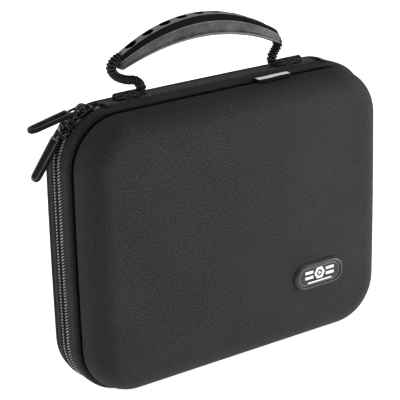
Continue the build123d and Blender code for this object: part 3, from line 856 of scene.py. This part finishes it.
end_tabs = []
for right in (False, True):
    start = EDGE.corner(END_TAB_ANGLE, right) - END_TAB_HALF
    stations = [start + 2 * END_TAB_HALF * i / END_TAB_STEPS for i in range(END_TAB_STEPS + 1)]
    rows = []
    for station in stations:
        x, z, nx, nz = EDGE.at(station)
        rows.append([place(x - nx * inset, y, z - nz * inset) for inset, y in END_TAB_SECTION])
    us = [s * MM for s in stations] + [0]
    vs = [v * MM for v in running(END_TAB_SECTION, close=True)]
    end_tabs.append(swept(rows, us, vs))
dress(joined("zip_end_cloth", end_tabs), TAPE, "base", "zip_tape", "zip_end_tabs")

# ---- sliders

for word in ("lower", "upper"):
    cad_paint(METAL, f"{word}_slider_body", f"{word}_slider_bridge", f"{word}_slider_link")

TAB_START = 9.6
TAB_LENGTH = 33.5
TAB_HALF_WIDTH = 5.4
TAB_TIP_R = 4.8
PIVOT_RISE = 4.2
# the moulded tab's section from one face to the other: (distance in from its outline, height)
TAB_SECTION = [(4.5, 1.1), (3.0, 1.1), (1.9, 1.1), (1.5, 1.25), (1.25, 1.5), (0.9, 1.6), (0.45, 1.55)]
TAB_SECTION += [(0.12, 1.3), (0.0, 0.85), (0.0, 0.0)]
TAB_SECTION += [(margin, -height) for margin, height in reversed(TAB_SECTION[:-1])]
# the rim's rings that carry the painted highlight
TAB_HIGHLIGHT_RINGS = (3, 4, 5)
TAB_SHOULDER = 2.2
TAB_SIDE_STEPS = 8
TAB_TIP_STEPS = 16


def tab_ring(margin):
    """Points of the tab's outline, drawn in by the margin, as (along, across)."""
    wide = TAB_HALF_WIDTH - margin
    tip = TAB_TIP_R - margin
    start = TAB_START + min(margin, TAB_SHOULDER)
    end = TAB_START + TAB_LENGTH - TAB_TIP_R
    steps = TAB_SIDE_STEPS
    edge = [(start + (end - start) * k / steps, -wide + (wide - tip) * k / steps) for k in range(steps)]
    made = list(edge)
    for k in range(TAB_TIP_STEPS + 1):
        turn = math.radians(-90 + 180 * k / TAB_TIP_STEPS)
        made.append((end + tip * math.cos(turn), tip * math.sin(turn)))
    return made + [(along, -across) for along, across in reversed(edge)]


def pull_cover(word, angle, heading):
    """The rubber tab of a pull, with sunk panels and a painted highlight on its rounded rim.

    Its slider sits at the angle on the top left corner, and the tab points along the heading, in degrees.
    """
    turn = math.radians(angle)
    outward = Vector((-math.cos(turn), 0, math.sin(turn)))
    pivot = Vector((-CORNER_X, 0, CORNER_TOP_Z)) + outward * (CORNER_R + PIVOT_RISE)
    lean = math.radians(heading)
    along = Vector((math.cos(lean), 0, math.sin(lean)))
    away = Vector((math.sin(lean), 0, -math.cos(lean)))
    across = away.cross(along)
    rows = []
    for margin, height in TAB_SECTION:
        ring = tab_ring(margin)
        rows.append([place(*(pivot + along * a + across * b + away * height)) for a, b in ring])
    piece = mesh_object(f"{word}_pull_moulding", *swept(rows, inward=True))
    add_materials(piece, PULL, PULL_EDGE_HIGHLIGHT)
    width = len(rows[0])
    last_ring = len(TAB_SECTION) - 2
    # the rim's rings take the painted highlight
    for ring in TAB_HIGHLIGHT_RINGS:
        for side_ring in (ring, last_ring - ring):
            paint_faces(piece, side_ring * width, (side_ring + 1) * width, 1)
    dress(piece, PULL, f"{word}_pull", "pull_rubber", f"{word}_slider_pull")


for word, angle, heading in (("lower", 43.0, 233.4), ("upper", 66.0, 192.0)):
    pull_cover(word, angle, heading)

# ---- handle

GRIP_X = -10.5
GRIP_HALF = 70.5
GRIP_TILT = 1.8
GRIP_LOW = (232.5, 248.5)
GRIP_HIGH = (242.5, 264.5)
GRIP_HALF_WIDTH = (6.6, 10.0)
# half of the grip's section, from the middle of the underside up: across, up, both from 0 to 1
GRIP_OUTLINE = [
    ("lip", [(0.0, 0.0), (0.45, 0.0), (0.84, 0.0)]),
    ("ridge", [(0.95, 0.035), (1.0, 0.09)]),
    ("side", [(0.985, 0.14), (0.93, 0.18), (0.885, 0.225), (0.88, 0.3), (0.90, 0.42), (0.895, 0.54)]),
    ("ridge", [(0.87, 0.63)]),
    ("bevel", [(0.845, 0.675), (0.80, 0.70), (0.735, 0.73), (0.65, 0.80), (0.54, 0.885)]),
    ("top", [(0.46, 0.945), (0.38, 0.98), (0.3, 0.995), (0.2, 1.0), (0.1, 1.0), (0.0, 1.0)]),
]
GRIP_SECTION = [(across, up, zone) for zone, points in GRIP_OUTLINE for across, up in points]
# the zones paint light and shade into the one rubber: painted light on the top, painted highlights on the
# ridges, painted shade on the lip, bevel and pits
GRIP_PAINTS = {
    "lip": GRIP_BEVEL_SHADE,
    "side": GRIP_SIDE,
    "ridge": GRIP_RIDGE_HIGHLIGHT,
    "bevel": GRIP_BEVEL_SHADE,
    "top": GRIP_TOP_LIT,
    "pit": GRIP_PIT_SHADE,
}
GRIP_STATIONS = 300
GRIP_END = 2.5
GRIP_END_SHRINK = 0.45
DIMPLES = 9
DIMPLE_PITCH = 14.6
DIMPLE_HALF_LENGTH = 4.4
DIMPLE_HALF_WIDTH = 3.2
DIMPLE_DEPTH = 2.3
DIMPLE_WALL = 3.2


def grip_station(position):
    """Low height, high height and half width of the grip, at -1 to 1 along it."""
    crown = 1 - position**2
    tilt = -GRIP_TILT * position
    low = GRIP_LOW[0] + (GRIP_LOW[1] - GRIP_LOW[0]) * crown + tilt
    high = GRIP_HIGH[0] + (GRIP_HIGH[1] - GRIP_HIGH[0]) * crown + tilt
    half = GRIP_HALF_WIDTH[0] + (GRIP_HALF_WIDTH[1] - GRIP_HALF_WIDTH[0]) * crown
    return low, high, half


def refined(section):
    """The grip's half section with twice as many points along its top."""
    made = []
    for (across, up, kind), (next_across, next_up, _) in zip(section, section[1:]):
        made.append((across, up, kind))
        if kind == "top":
            made.append(((across + next_across) / 2, (up + next_up) / 2, kind))
    made.append(section[-1])
    return made


def dimple(along, across, up):
    """How deep the top is sunk at a distance along and across from the grip's middle."""
    nearest = round(along / DIMPLE_PITCH)
    if abs(nearest) > (DIMPLES - 1) / 2 or up <= 0.8:
        return 0.0
    dx = (along - nearest * DIMPLE_PITCH) / DIMPLE_HALF_LENGTH
    reach = math.hypot(dx, across / DIMPLE_HALF_WIDTH)
    return DIMPLE_DEPTH * min(1.0, (1 - reach) * DIMPLE_WALL) if reach < 1 else 0.0


def build_grip():
    """The moulded grip, with its lips, side facets, dimpled top and rounded ends."""
    half_section = refined(GRIP_SECTION)
    loop = half_section + [(-across, up, kind) for across, up, kind in reversed(half_section[1:-1])]
    rows, sunk = [], []
    for i in range(GRIP_STATIONS + 1):
        position = -1 + 2 * i / GRIP_STATIONS
        low, high, half = grip_station(position)
        # the ends close over the last stretch
        close = min(1.0, GRIP_HALF * (1 - abs(position)) / GRIP_END)
        shrink = math.sqrt(max(0.0, 1 - (1 - close) ** 2)) * GRIP_END_SHRINK + (1 - GRIP_END_SHRINK)
        middle = (low + high) / 2
        x = GRIP_X + GRIP_HALF * position
        row, row_sunk = [], []
        for across, up, _ in loop:
            y = across * half * shrink
            z = middle + (low + (high - low) * up - middle) * shrink
            pit = dimple(x - GRIP_X, y, up)
            row.append(place(x, y, z - pit))
            row_sunk.append(pit > 0.15)
        rows.append(row)
        sunk.append(row_sunk)
    width = len(loop)
    zones = list(GRIP_PAINTS)
    slots = []
    for i in range(GRIP_STATIONS):
        for j in range(width):
            j2 = (j + 1) % width
            low_corner = min(loop[j][1], loop[j2][1])
            zone = next(kind for _, up, kind in reversed(half_section) if up <= low_corner)
            # faces in a dimple take the near-black painted shade
            in_pit = sunk[i][j] + sunk[i + 1][j] + sunk[i][j2] + sunk[i + 1][j2] >= 2
            slots.append(zones.index("pit" if in_pit else zone))
    us = [2 * GRIP_HALF * i / GRIP_STATIONS * MM for i in range(GRIP_STATIONS + 2)]
    piece = mesh_object("grip_moulding", *swept(rows, us))
    add_materials(piece, *GRIP_PAINTS.values())
    piece.data.polygons.foreach_set("material_index", slots + [0, 0])
    smooth = piece.modifiers.new("smooth", "SUBSURF")
    smooth.levels = smooth.render_levels = 1
    return piece


dress(build_grip(), GRIP_SIDE, "handle_grip", "grip_rubber", "grip")

# ---- handle straps


def pleats(length, turn):
    """Scale of the strap's section: tight pleats across it, leaning a little round the cord."""
    phase = math.pi * length / RIB_PITCH + 0.5 * math.sin(turn)
    crease = abs(math.sin(phase))
    return 0.66 + 0.42 * crease**0.7


STRAPS = {
    "left": [
        *((-75.5, 243.6), (-80.6, 242.6), (-84.9, 239.4), (-85.6, 235.0)),
        *((-81.6, 229.8), (-74.0, 226.2), (-66.6, 224.6), (-62.6, 221.4)),
    ],
    "right": [(56.5, 237.0), (59.8, 233.6), (60.9, 229.4), (58.2, 225.2), (55.4, 221.2)],
}
ROOTS = {
    "left": [(-64.4, 222.6), (-61.9, 219.8), (-61.6, 217.0), (-64.0, 214.6), (-68.5, 213.6)],
    "right": [(56.4, 222.4), (55.2, 219.0), (56.8, 216.0), (60.5, 214.4), (65.0, 213.8)],
}
STRAP_R = 3.1
STRAP_FLATTEN = 1.35
STRAP_SIDES = 20


def pleated_cord(name, route, per_span):
    """A gathered webbing cord along a route of (x, z) points in the zip's plane."""
    path = curve_through([(x, 0, z) for x, z in route], per_span)
    made = tube_data(path, STRAP_R, STRAP_SIDES, pleats, STRAP_FLATTEN, up=(0, 1, 0))
    return mesh_object(name, *made)


for side in ("left", "right"):
    strap = pleated_cord(f"strap_cord_{side}", STRAPS[side], 26)
    strap.data.materials.append(WEBBING)
    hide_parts(f"strap_{side}")
    (top_x, top_z), (low_x, low_z) = STRAPS[side][1], STRAPS[side][-3]
    low, top = place(low_x, 0, low_z), place(top_x, 0, top_z)
    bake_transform(strap)
    dress(pleated_cord(f"strap_root_{side}", ROOTS[side], 22), WEBBING, "base", "webbing")


BRAID_STRANDS = 4
BRAID_STEPS = 90
BRAID_TURNS = 2.6
BRAID_R = 1.75
BRAID_HALF_WIDTH = 3.2
BRAID_Z = 215.0
BRAID_WEAVE = 1.5


def braid_ribs(length, turn):
    """Scale of a braid's cord: the same tight pleats as the straps, and the same all round."""
    return 0.7 + 0.36 * abs(math.sin(math.pi * length / BRAID_PITCH))


def braid(side, x_from, x_to):
    """A flat knotted pad where a strap is sewn down: four cords that weave over and under."""
    parts = []
    for strand in range(BRAID_STRANDS):
        path = []
        for i in range(BRAID_STEPS + 1):
            t = i / BRAID_STEPS
            turn = 2 * math.pi * (BRAID_TURNS * t + strand / BRAID_STRANDS)
            taper = math.sin(math.pi * (0.12 + 0.76 * t)) ** 0.5
            y = BRAID_HALF_WIDTH * taper * math.sin(turn)
            path.append(Vector((x_from + (x_to - x_from) * t, y, BRAID_Z + BRAID_WEAVE * math.cos(2 * turn))))
        parts.append(tube_data(path, BRAID_R, 9, braid_ribs))
    dress(joined(f"patch_braid_{side}", parts), BRAID, "base", "webbing", f"strap_patch_{side}")


braid("left", -84.0, -60.5)
braid("right", 58.5, 81.5)

# ---- label

LABEL_FROM = 26.5
LABEL_TO = 55.5
LABEL_STEPS = 26
LABEL_SAG = 0.35
# the folded label's section as (y, z): its printed face first, then the roll and the inner side
LABEL_FACE = [(-14.6, 211.6), (-15.4, 212.5), (-17.2, 212.9), (-19.6, 212.9)]
LABEL_ROLL = [(-21.9, 212.7), (-22.8, 211.9), (-23.0, 211.0), (-22.5, 210.3), (-20.0, 210.6), (-16.0, 210.9)]
LABEL_SECTION = LABEL_FACE + LABEL_ROLL

rows = []
for i in range(LABEL_STEPS + 1):
    x = LABEL_FROM + (LABEL_TO - LABEL_FROM) * i / LABEL_STEPS
    sag = LABEL_SAG * noise.noise(Vector((x * 0.12, 0.3, 0.0)))
    row = []
    for y, z in LABEL_SECTION:
        row.append(place(x + 0.3 * math.sin(y), y, z + sag * (0.5 if y > -17 else 1.0)))
    rows.append(row)
vs = [v * MM for v in running(LABEL_SECTION, close=True)]
label = mesh_object("folded_label", *swept(rows, vs=vs))
add_materials(label, LABEL_WHITE, LABEL_ROLL_SHADE)
# the white face, then the roll and inner side in near-black painted shade
slots = ([0] * len(LABEL_FACE) + [1] * len(LABEL_ROLL)) * LABEL_STEPS + [1, 1]
label.data.polygons.foreach_set("material_index", slots)
dress(label, LABEL_WHITE, "base", "white_label", "side_label")

# ---- badge

BADGE_X = 66.5
BADGE_Z = 57.0
BADGE_STRAIGHT = 12.7
BADGE_R = 10.8
BADGE_Y = -40.0
BADGE_SIDES = 120


def stadium(offset):
    """Points of the badge's outline, drawn in by the offset, as (x, z)."""
    radius = BADGE_R - offset
    made = []
    for i in range(BADGE_SIDES):
        turn = 2 * math.pi * i / BADGE_SIDES
        shift = BADGE_STRAIGHT if math.cos(turn) >= 0 else -BADGE_STRAIGHT
        made.append((BADGE_X + shift + radius * math.cos(turn), BADGE_Z + radius * math.sin(turn)))
    return made


def badge_ring(name, section, material, *replaced):
    """A ring of the badge: a section of (offset, height) points carried round its outline."""
    rows = []
    for offset, rise in section:
        rows.append([place(x, BADGE_Y - rise, z) for x, z in stadium(offset)])
    us = [i * MM for i in range(len(section) + 1)]
    vs = [j * MM for j in range(BADGE_SIDES + 1)]
    points, faces, uvs = grid(rows, us, vs, wrap_v=True)
    piece = mesh_object(name, points, [face[::-1] for face in faces], [corners[::-1] for corners in uvs])
    dress(piece, material, "base", "badge_plastic", *replaced)


badge_rim = [(-0.1, -0.6), (0.0, 0.5), (0.35, 1.5), (0.9, 2.3), (1.6, 2.85), (2.2, 3.1), (2.7, 3.15)]
badge_rim += [(3.05, 2.95), (3.2, 2.5), (3.3, 0.4), (3.35, -0.6)]
badge_groove_shade = [(3.2, 2.02), (3.5, 2.08), (3.8, 2.08), (4.0, 2.02)]
badge_bead = [(3.8, 1.9), (3.85, 2.25), (4.0, 2.4), (4.25, 2.4), (4.4, 2.25), (4.45, 1.9)]
# the bead is painted pale as a highlight, and the groove floor near-black as shade
badge_ring("badge_rim", badge_rim, BADGE, "badge_surround")
badge_ring("badge_groove_floor", badge_groove_shade, BADGE_GROOVE_SHADE)
badge_ring("badge_bead", badge_bead, BADGE_BEAD_HIGHLIGHT)
cad_paint(BADGE_FACE, "badge_plate")
cad_paint(WHITE, "badge_emblem")

# ---- inside

cad_paint(LINING, "base_lining", "lid_lining")

BINDING_ROLL = [(4.4, 5.4), (4.3, 3.2), (4.45, 2.2), (4.9, 1.65)]
BINDING_ROLL += [(5.4, 1.65), (5.95, 2.2), (6.15, 3.2), (6.1, 5.4)]

for side, body, _ in HALVES:
    welt = rim_sweep(f"{body}_binding_cloth", [(inset, side * y) for inset, y in BINDING_ROLL], step=2.5)
    dress(welt, BINDING, body, "lining_fabric", f"{body}_binding")


FOAM_BEVEL = 0.42
FOAM_STEP = 6.0
FOAM_RIPPLE = 0.18


def foam_block(low, high):
    """Points, faces and UVs of a soft-edged block of cut foam between two corners, in millimetres."""
    counts = [max(2, int((b - a) / FOAM_STEP)) for a, b in zip(low, high)]
    points, index, faces = [], {}, []

    def corner(key):
        """The number of the point at whole steps along the block, made on its first use."""
        if key in index:
            return index[key]
        on_edge = sum(k in (0, n) for k, n in zip(key, counts)) > 1
        at = []
        for a, b, k, n in zip(low, high, key, counts):
            drawn_in = FOAM_BEVEL * ((k == 0) - (k == n)) if on_edge else 0
            at.append(a + (b - a) * k / n + drawn_in)
        ripple = FOAM_RIPPLE * noise.noise(Vector(at) * 0.09)
        at = [v + (ripple if v > (a + b) / 2 else -ripple) for v, a, b in zip(at, low, high)]
        index[key] = len(points)
        points.append(place(*at))
        return index[key]

    for axis in range(3):
        a, b = [n for n in range(3) if n != axis]
        for end in (0, counts[axis]):
            for i in range(counts[a]):
                for j in range(counts[b]):
                    keys = []
                    for di, dj in ((0, 0), (1, 0), (1, 1), (0, 1)):
                        key = [0, 0, 0]
                        key[axis], key[a], key[b] = end, i + di, j + dj
                        keys.append(corner(tuple(key)))
                    turn = (end == 0) == (axis != 1)
                    faces.append(tuple(reversed(keys)) if turn else tuple(keys))
    return points, faces, [((0.0, 0.0),) * 4 for _ in faces]


def show_foam(piece, body, *replaced):
    """Finishes a piece of foam that fills its CAD solid."""
    dress(piece, FOAM, body, "foam", *replaced)


INNER_INSET = 9.0
TRAY_TOP = 6.8
TRAY_BOTTOM = 29.28
WINDOW = (233.6, 178.2)
WINDOW_Z = 106.1
WINDOW_R = 30.0
COLUMNS = 4
ROWS = 3
STRIP = 5.0
COLUMN_PITCH = (WINDOW[0] + STRIP) / COLUMNS
ROW_PITCH = (WINDOW[1] + STRIP) / ROWS
STRIP_GAP = 0.15
FRAME_STATIONS = 320
TINY = 1e-9


def window_point(direction_x, direction_z):
    """Where a ray from the window's centre meets the window's rounded rectangle."""
    half_x, half_z = WINDOW[0] / 2, WINDOW[1] / 2
    scale = min(half_x / max(abs(direction_x), TINY), half_z / max(abs(direction_z), TINY))
    x, z = direction_x * scale, direction_z * scale
    corner_x, corner_z = half_x - WINDOW_R, half_z - WINDOW_R
    if abs(x) > corner_x and abs(z) > corner_z:
        # solve for the corner circle along the ray
        cx, cz = math.copysign(corner_x, x), math.copysign(corner_z, z)
        length = math.hypot(direction_x, direction_z)
        ux, uz = direction_x / length, direction_z / length
        along = ux * cx + uz * cz
        miss = cx * cx + cz * cz - along * along
        reach = along + math.sqrt(max(0.0, WINDOW_R**2 - miss))
        x, z = ux * reach, uz * reach
    return x, z + WINDOW_Z


def foam_frame():
    """The tray's outer wall: the case's outline outside and the rounded window inside."""
    rows = []
    for i in range(FRAME_STATIONS):
        x, z, nx, nz = EDGE.at(EDGE.total * i / FRAME_STATIONS)
        x, z = x - nx * INNER_INSET, z - nz * INNER_INSET
        inner_x, inner_z = window_point(x, z - WINDOW_Z)
        away = math.hypot(x - inner_x, z - inner_z)
        ux, uz = (x - inner_x) / away, (z - inner_z) / away
        ripple = 0.2 * noise.noise(Vector((x, z, 0)) * 0.07)
        top = -TRAY_TOP
        section = [
            (inner_x, inner_z, -TRAY_BOTTOM),
            (inner_x, inner_z, top - 8.0),
            (inner_x + ux * ripple, inner_z + uz * ripple, top - 1.2),
            (inner_x + ux * 0.4, inner_z + uz * 0.4, top - 0.35),
            (inner_x + ux * 1.2, inner_z + uz * 1.2, top + ripple),
            ((inner_x + x) / 2, (inner_z + z) / 2, top + ripple * 1.5),
            (x - ux * 1.2, z - uz * 1.2, top + ripple),
            (x - ux * 0.3, z - uz * 0.3, top - 0.4),
            (x, z, top - 1.4),
            (x, z, -18.0),
            (x - ux * 0.5, z - uz * 0.5, -TRAY_BOTTOM),
        ]
        rows.append([place(px, py, pz) for px, pz, py in section])
    us = [EDGE.total * i / FRAME_STATIONS * MM for i in range(FRAME_STATIONS + 1)]
    vs = [j * 3 * MM for j in range(len(section) + 1)]
    return mesh_object("foam_frame_cut", *grid(rows, us, vs, wrap_u=True, wrap_v=True))


show_foam(foam_frame(), "base", "foam_tray_frame")

for row in range(1, ROWS):
    strip_z = WINDOW_Z - (WINDOW[1] + STRIP) / 2 + row * ROW_PITCH
    half = WINDOW[0] / 2 - 0.1
    block = foam_block((-half, -TRAY_BOTTOM, strip_z - STRIP / 2), (half, -TRAY_TOP, strip_z + STRIP / 2))
    show_foam(joined(f"foam_long_cut_{row}", [block]), "base", f"foam_long_strip_{row}")

blocks = []
for column in range(1, COLUMNS):
    strip_x = -(WINDOW[0] + STRIP) / 2 + column * COLUMN_PITCH
    for row in range(ROWS):
        low_z = WINDOW_Z - WINDOW[1] / 2 + row * ROW_PITCH + STRIP_GAP
        high_z = low_z + ROW_PITCH - STRIP - 2 * STRIP_GAP
        low, high = (strip_x - STRIP / 2, -TRAY_BOTTOM, low_z), (strip_x + STRIP / 2, -TRAY_TOP, high_z)
        blocks.append(foam_block(low, high))
show_foam(joined("foam_cross_cuts", blocks), "base", "foam_cross_strips")

floor_profile = [(11.6, -34.5), (9.6, -33.6), (9.1, -32.0), (9.1, -30.6), (9.5, -29.9), (10.4, -29.6)]
show_foam(shell_cover("foam_floor_cut", floor_profile, 0.12, rings=30), "base", "floor_pad")

LID_PAD = (242.0, 185.0)
LID_PAD_R = 24.0
LID_PAD_BACK = 12.5
LID_PAD_FRONT = -2.5
LID_PAD_RAISE = 0.5
LID_CELLS = (190, 146)
LID_BORDER = 7.0
LID_BORDER_FADE = 5.0
LID_SOFT_DEPTH = 1.6
LID_SOFT_REACH = 2.0
WAVE_PITCH = 15.0
WAVE_DEPTH = 2.4


def lid_foam():
    """The lid's pad: moulded waves over its face, a flat border and soft edges."""
    nx, nz = LID_CELLS
    corner_x, corner_z = LID_PAD[0] / 2 - LID_PAD_R, LID_PAD[1] / 2 - LID_PAD_R
    rows = []
    for i in range(nx + 1):
        row = []
        for j in range(nz + 1):
            x = -LID_PAD[0] / 2 + LID_PAD[0] * i / nx
            z = -LID_PAD[1] / 2 + LID_PAD[1] * j / nz
            over_x, over_z = max(0.0, abs(x) - corner_x), max(0.0, abs(z) - corner_z)
            square = max(over_x, over_z)
            if over_x > 0 and over_z > 0:
                # squares off the corner's square cells onto its round edge
                pull = square / math.hypot(over_x, over_z)
                x = math.copysign(corner_x + over_x * pull, x)
                z = math.copysign(corner_z + over_z * pull, z)
            edge = LID_PAD_R - square
            inside = min(1.0, max(0.0, (edge - LID_BORDER) / LID_BORDER_FADE))
            wave = math.cos(2 * math.pi * x / WAVE_PITCH) * math.cos(2 * math.pi * z / WAVE_PITCH)
            depth = WAVE_DEPTH * inside * (0.5 - 0.5 * wave)
            soft = LID_SOFT_DEPTH * (1 - min(1.0, edge / LID_SOFT_REACH)) ** 2
            row.append(place(x, LID_PAD_FRONT + depth + soft, z + MIDDLE_Z + LID_PAD_RAISE))
        rows.append(row)
    us = [LID_PAD[0] * i / nx * MM for i in range(nx + 2)]
    vs = [LID_PAD[1] * j / nz * MM for j in range(nz + 2)]
    points, faces, uvs = grid(rows, us, vs)
    # the edge runs back to the lining
    rim = [i * (nz + 1) for i in range(nx + 1)]
    rim += [nx * (nz + 1) + j for j in range(1, nz + 1)]
    rim += [i * (nz + 1) + nz for i in range(nx - 1, -1, -1)]
    rim += [j for j in range(nz - 1, 0, -1)]
    base = len(points)
    edge_run = (LID_PAD_BACK - LID_PAD_FRONT) * MM
    for k in rim:
        p = points[k]
        points.append(Vector((p.x, (LID_PAD_BACK + ZIP_Y) * MM, p.z)))
    for k in range(len(rim)):
        k2 = (k + 1) % len(rim)
        faces.append((rim[k], rim[k2], base + k2, base + k))
        uvs.append(((0, 0), (MM, 0), (MM, edge_run), (0, edge_run)))
    faces.append(tuple(base + k for k in range(len(rim))))
    uvs.append(tuple((points[base + k].x, points[base + k].z) for k in range(len(rim))))
    return mesh_object("lid_foam_waves", points, faces, uvs)


show_foam(lid_foam(), "lid", "lid_foam_pad")

# ---- floor, light, camera

FLOOR_HALF = 6.0
FLOOR_DROP = 0.0005

floor_paint = Paint("studio_floor")
floor_paint.set(Base_Color=(0.86, 0.86, 0.86, 1.0), Roughness=0.9)
floor_paint.set(Emission_Color=(1.0, 1.0, 1.0, 1.0), Emission_Strength=0.9)
floor_corners = [(-FLOOR_HALF, -FLOOR_HALF), (FLOOR_HALF, -FLOOR_HALF), (FLOOR_HALF, FLOOR_HALF)]
floor_corners.append((-FLOOR_HALF, FLOOR_HALF))
floor = mesh_object("studio_floor_plane", [(x, y, -FLOOR_DROP) for x, y in floor_corners], [(0, 1, 2, 3)])
floor.data.materials.append(floor_paint.material)


def softbox(name, at, size, power, target=(0, 0, 0.1)):
    """A square area light that faces the target."""
    light = bpy.data.lights.new(name, "AREA")
    light.shape = "RECTANGLE"
    light.size, light.size_y = size
    light.energy = power
    lamp = bpy.data.objects.new(name, light)
    lamp.location = at
    lamp.rotation_euler = (Vector(target) - Vector(at)).to_track_quat("-Z", "Y").to_euler()
    bpy.context.scene.collection.objects.link(lamp)


softbox("overhead", (0.5, -0.5, 1.6), (1.4, 1.4), 7.5)
softbox("front_right", (0.6, -0.42, 0.04), (0.4, 0.4), 9.0)
softbox("left_strip", (-1.3, 0.4, 0.4), (0.5, 1.4), 6.0)

world = bpy.data.worlds.new("studio")
world.use_nodes = True
world.node_tree.nodes["Background"].inputs["Color"].default_value = (1.0, 1.0, 1.0, 1.0)
world.node_tree.nodes["Background"].inputs["Strength"].default_value = 0.4
bpy.context.scene.world = world
bpy.context.scene.view_settings.view_transform = "Standard"

CAMERA_AZIMUTH = 0.612176
CAMERA_ELEVATION = 0.338811
CAMERA_ROLL = -0.026537
CAMERA_PLACE = (-659.1, -919.7, 519.2)
CAMERA_LENS = 144.46

look = Vector(
    (
        math.sin(CAMERA_AZIMUTH) * math.cos(CAMERA_ELEVATION),
        math.cos(CAMERA_AZIMUTH) * math.cos(CAMERA_ELEVATION),
        -math.sin(CAMERA_ELEVATION),
    )
)
right = Vector((math.cos(CAMERA_AZIMUTH), -math.sin(CAMERA_AZIMUTH), 0))
above = right.cross(look)
across = right * math.cos(CAMERA_ROLL) + above * math.sin(CAMERA_ROLL)
upward = above * math.cos(CAMERA_ROLL) - right * math.sin(CAMERA_ROLL)
turned = Matrix((across, upward, -look)).transposed()
camera_data = bpy.data.cameras.new("camera")
camera_data.lens = CAMERA_LENS
camera_data.sensor_width = 36.0
camera_data.clip_end = 20.0
camera = bpy.data.objects.new("camera", camera_data)
camera.matrix_world = Matrix.Translation(place(*CAMERA_PLACE)) @ turned.to_4x4()
bpy.context.scene.collection.objects.link(camera)
bpy.context.scene.camera = camera
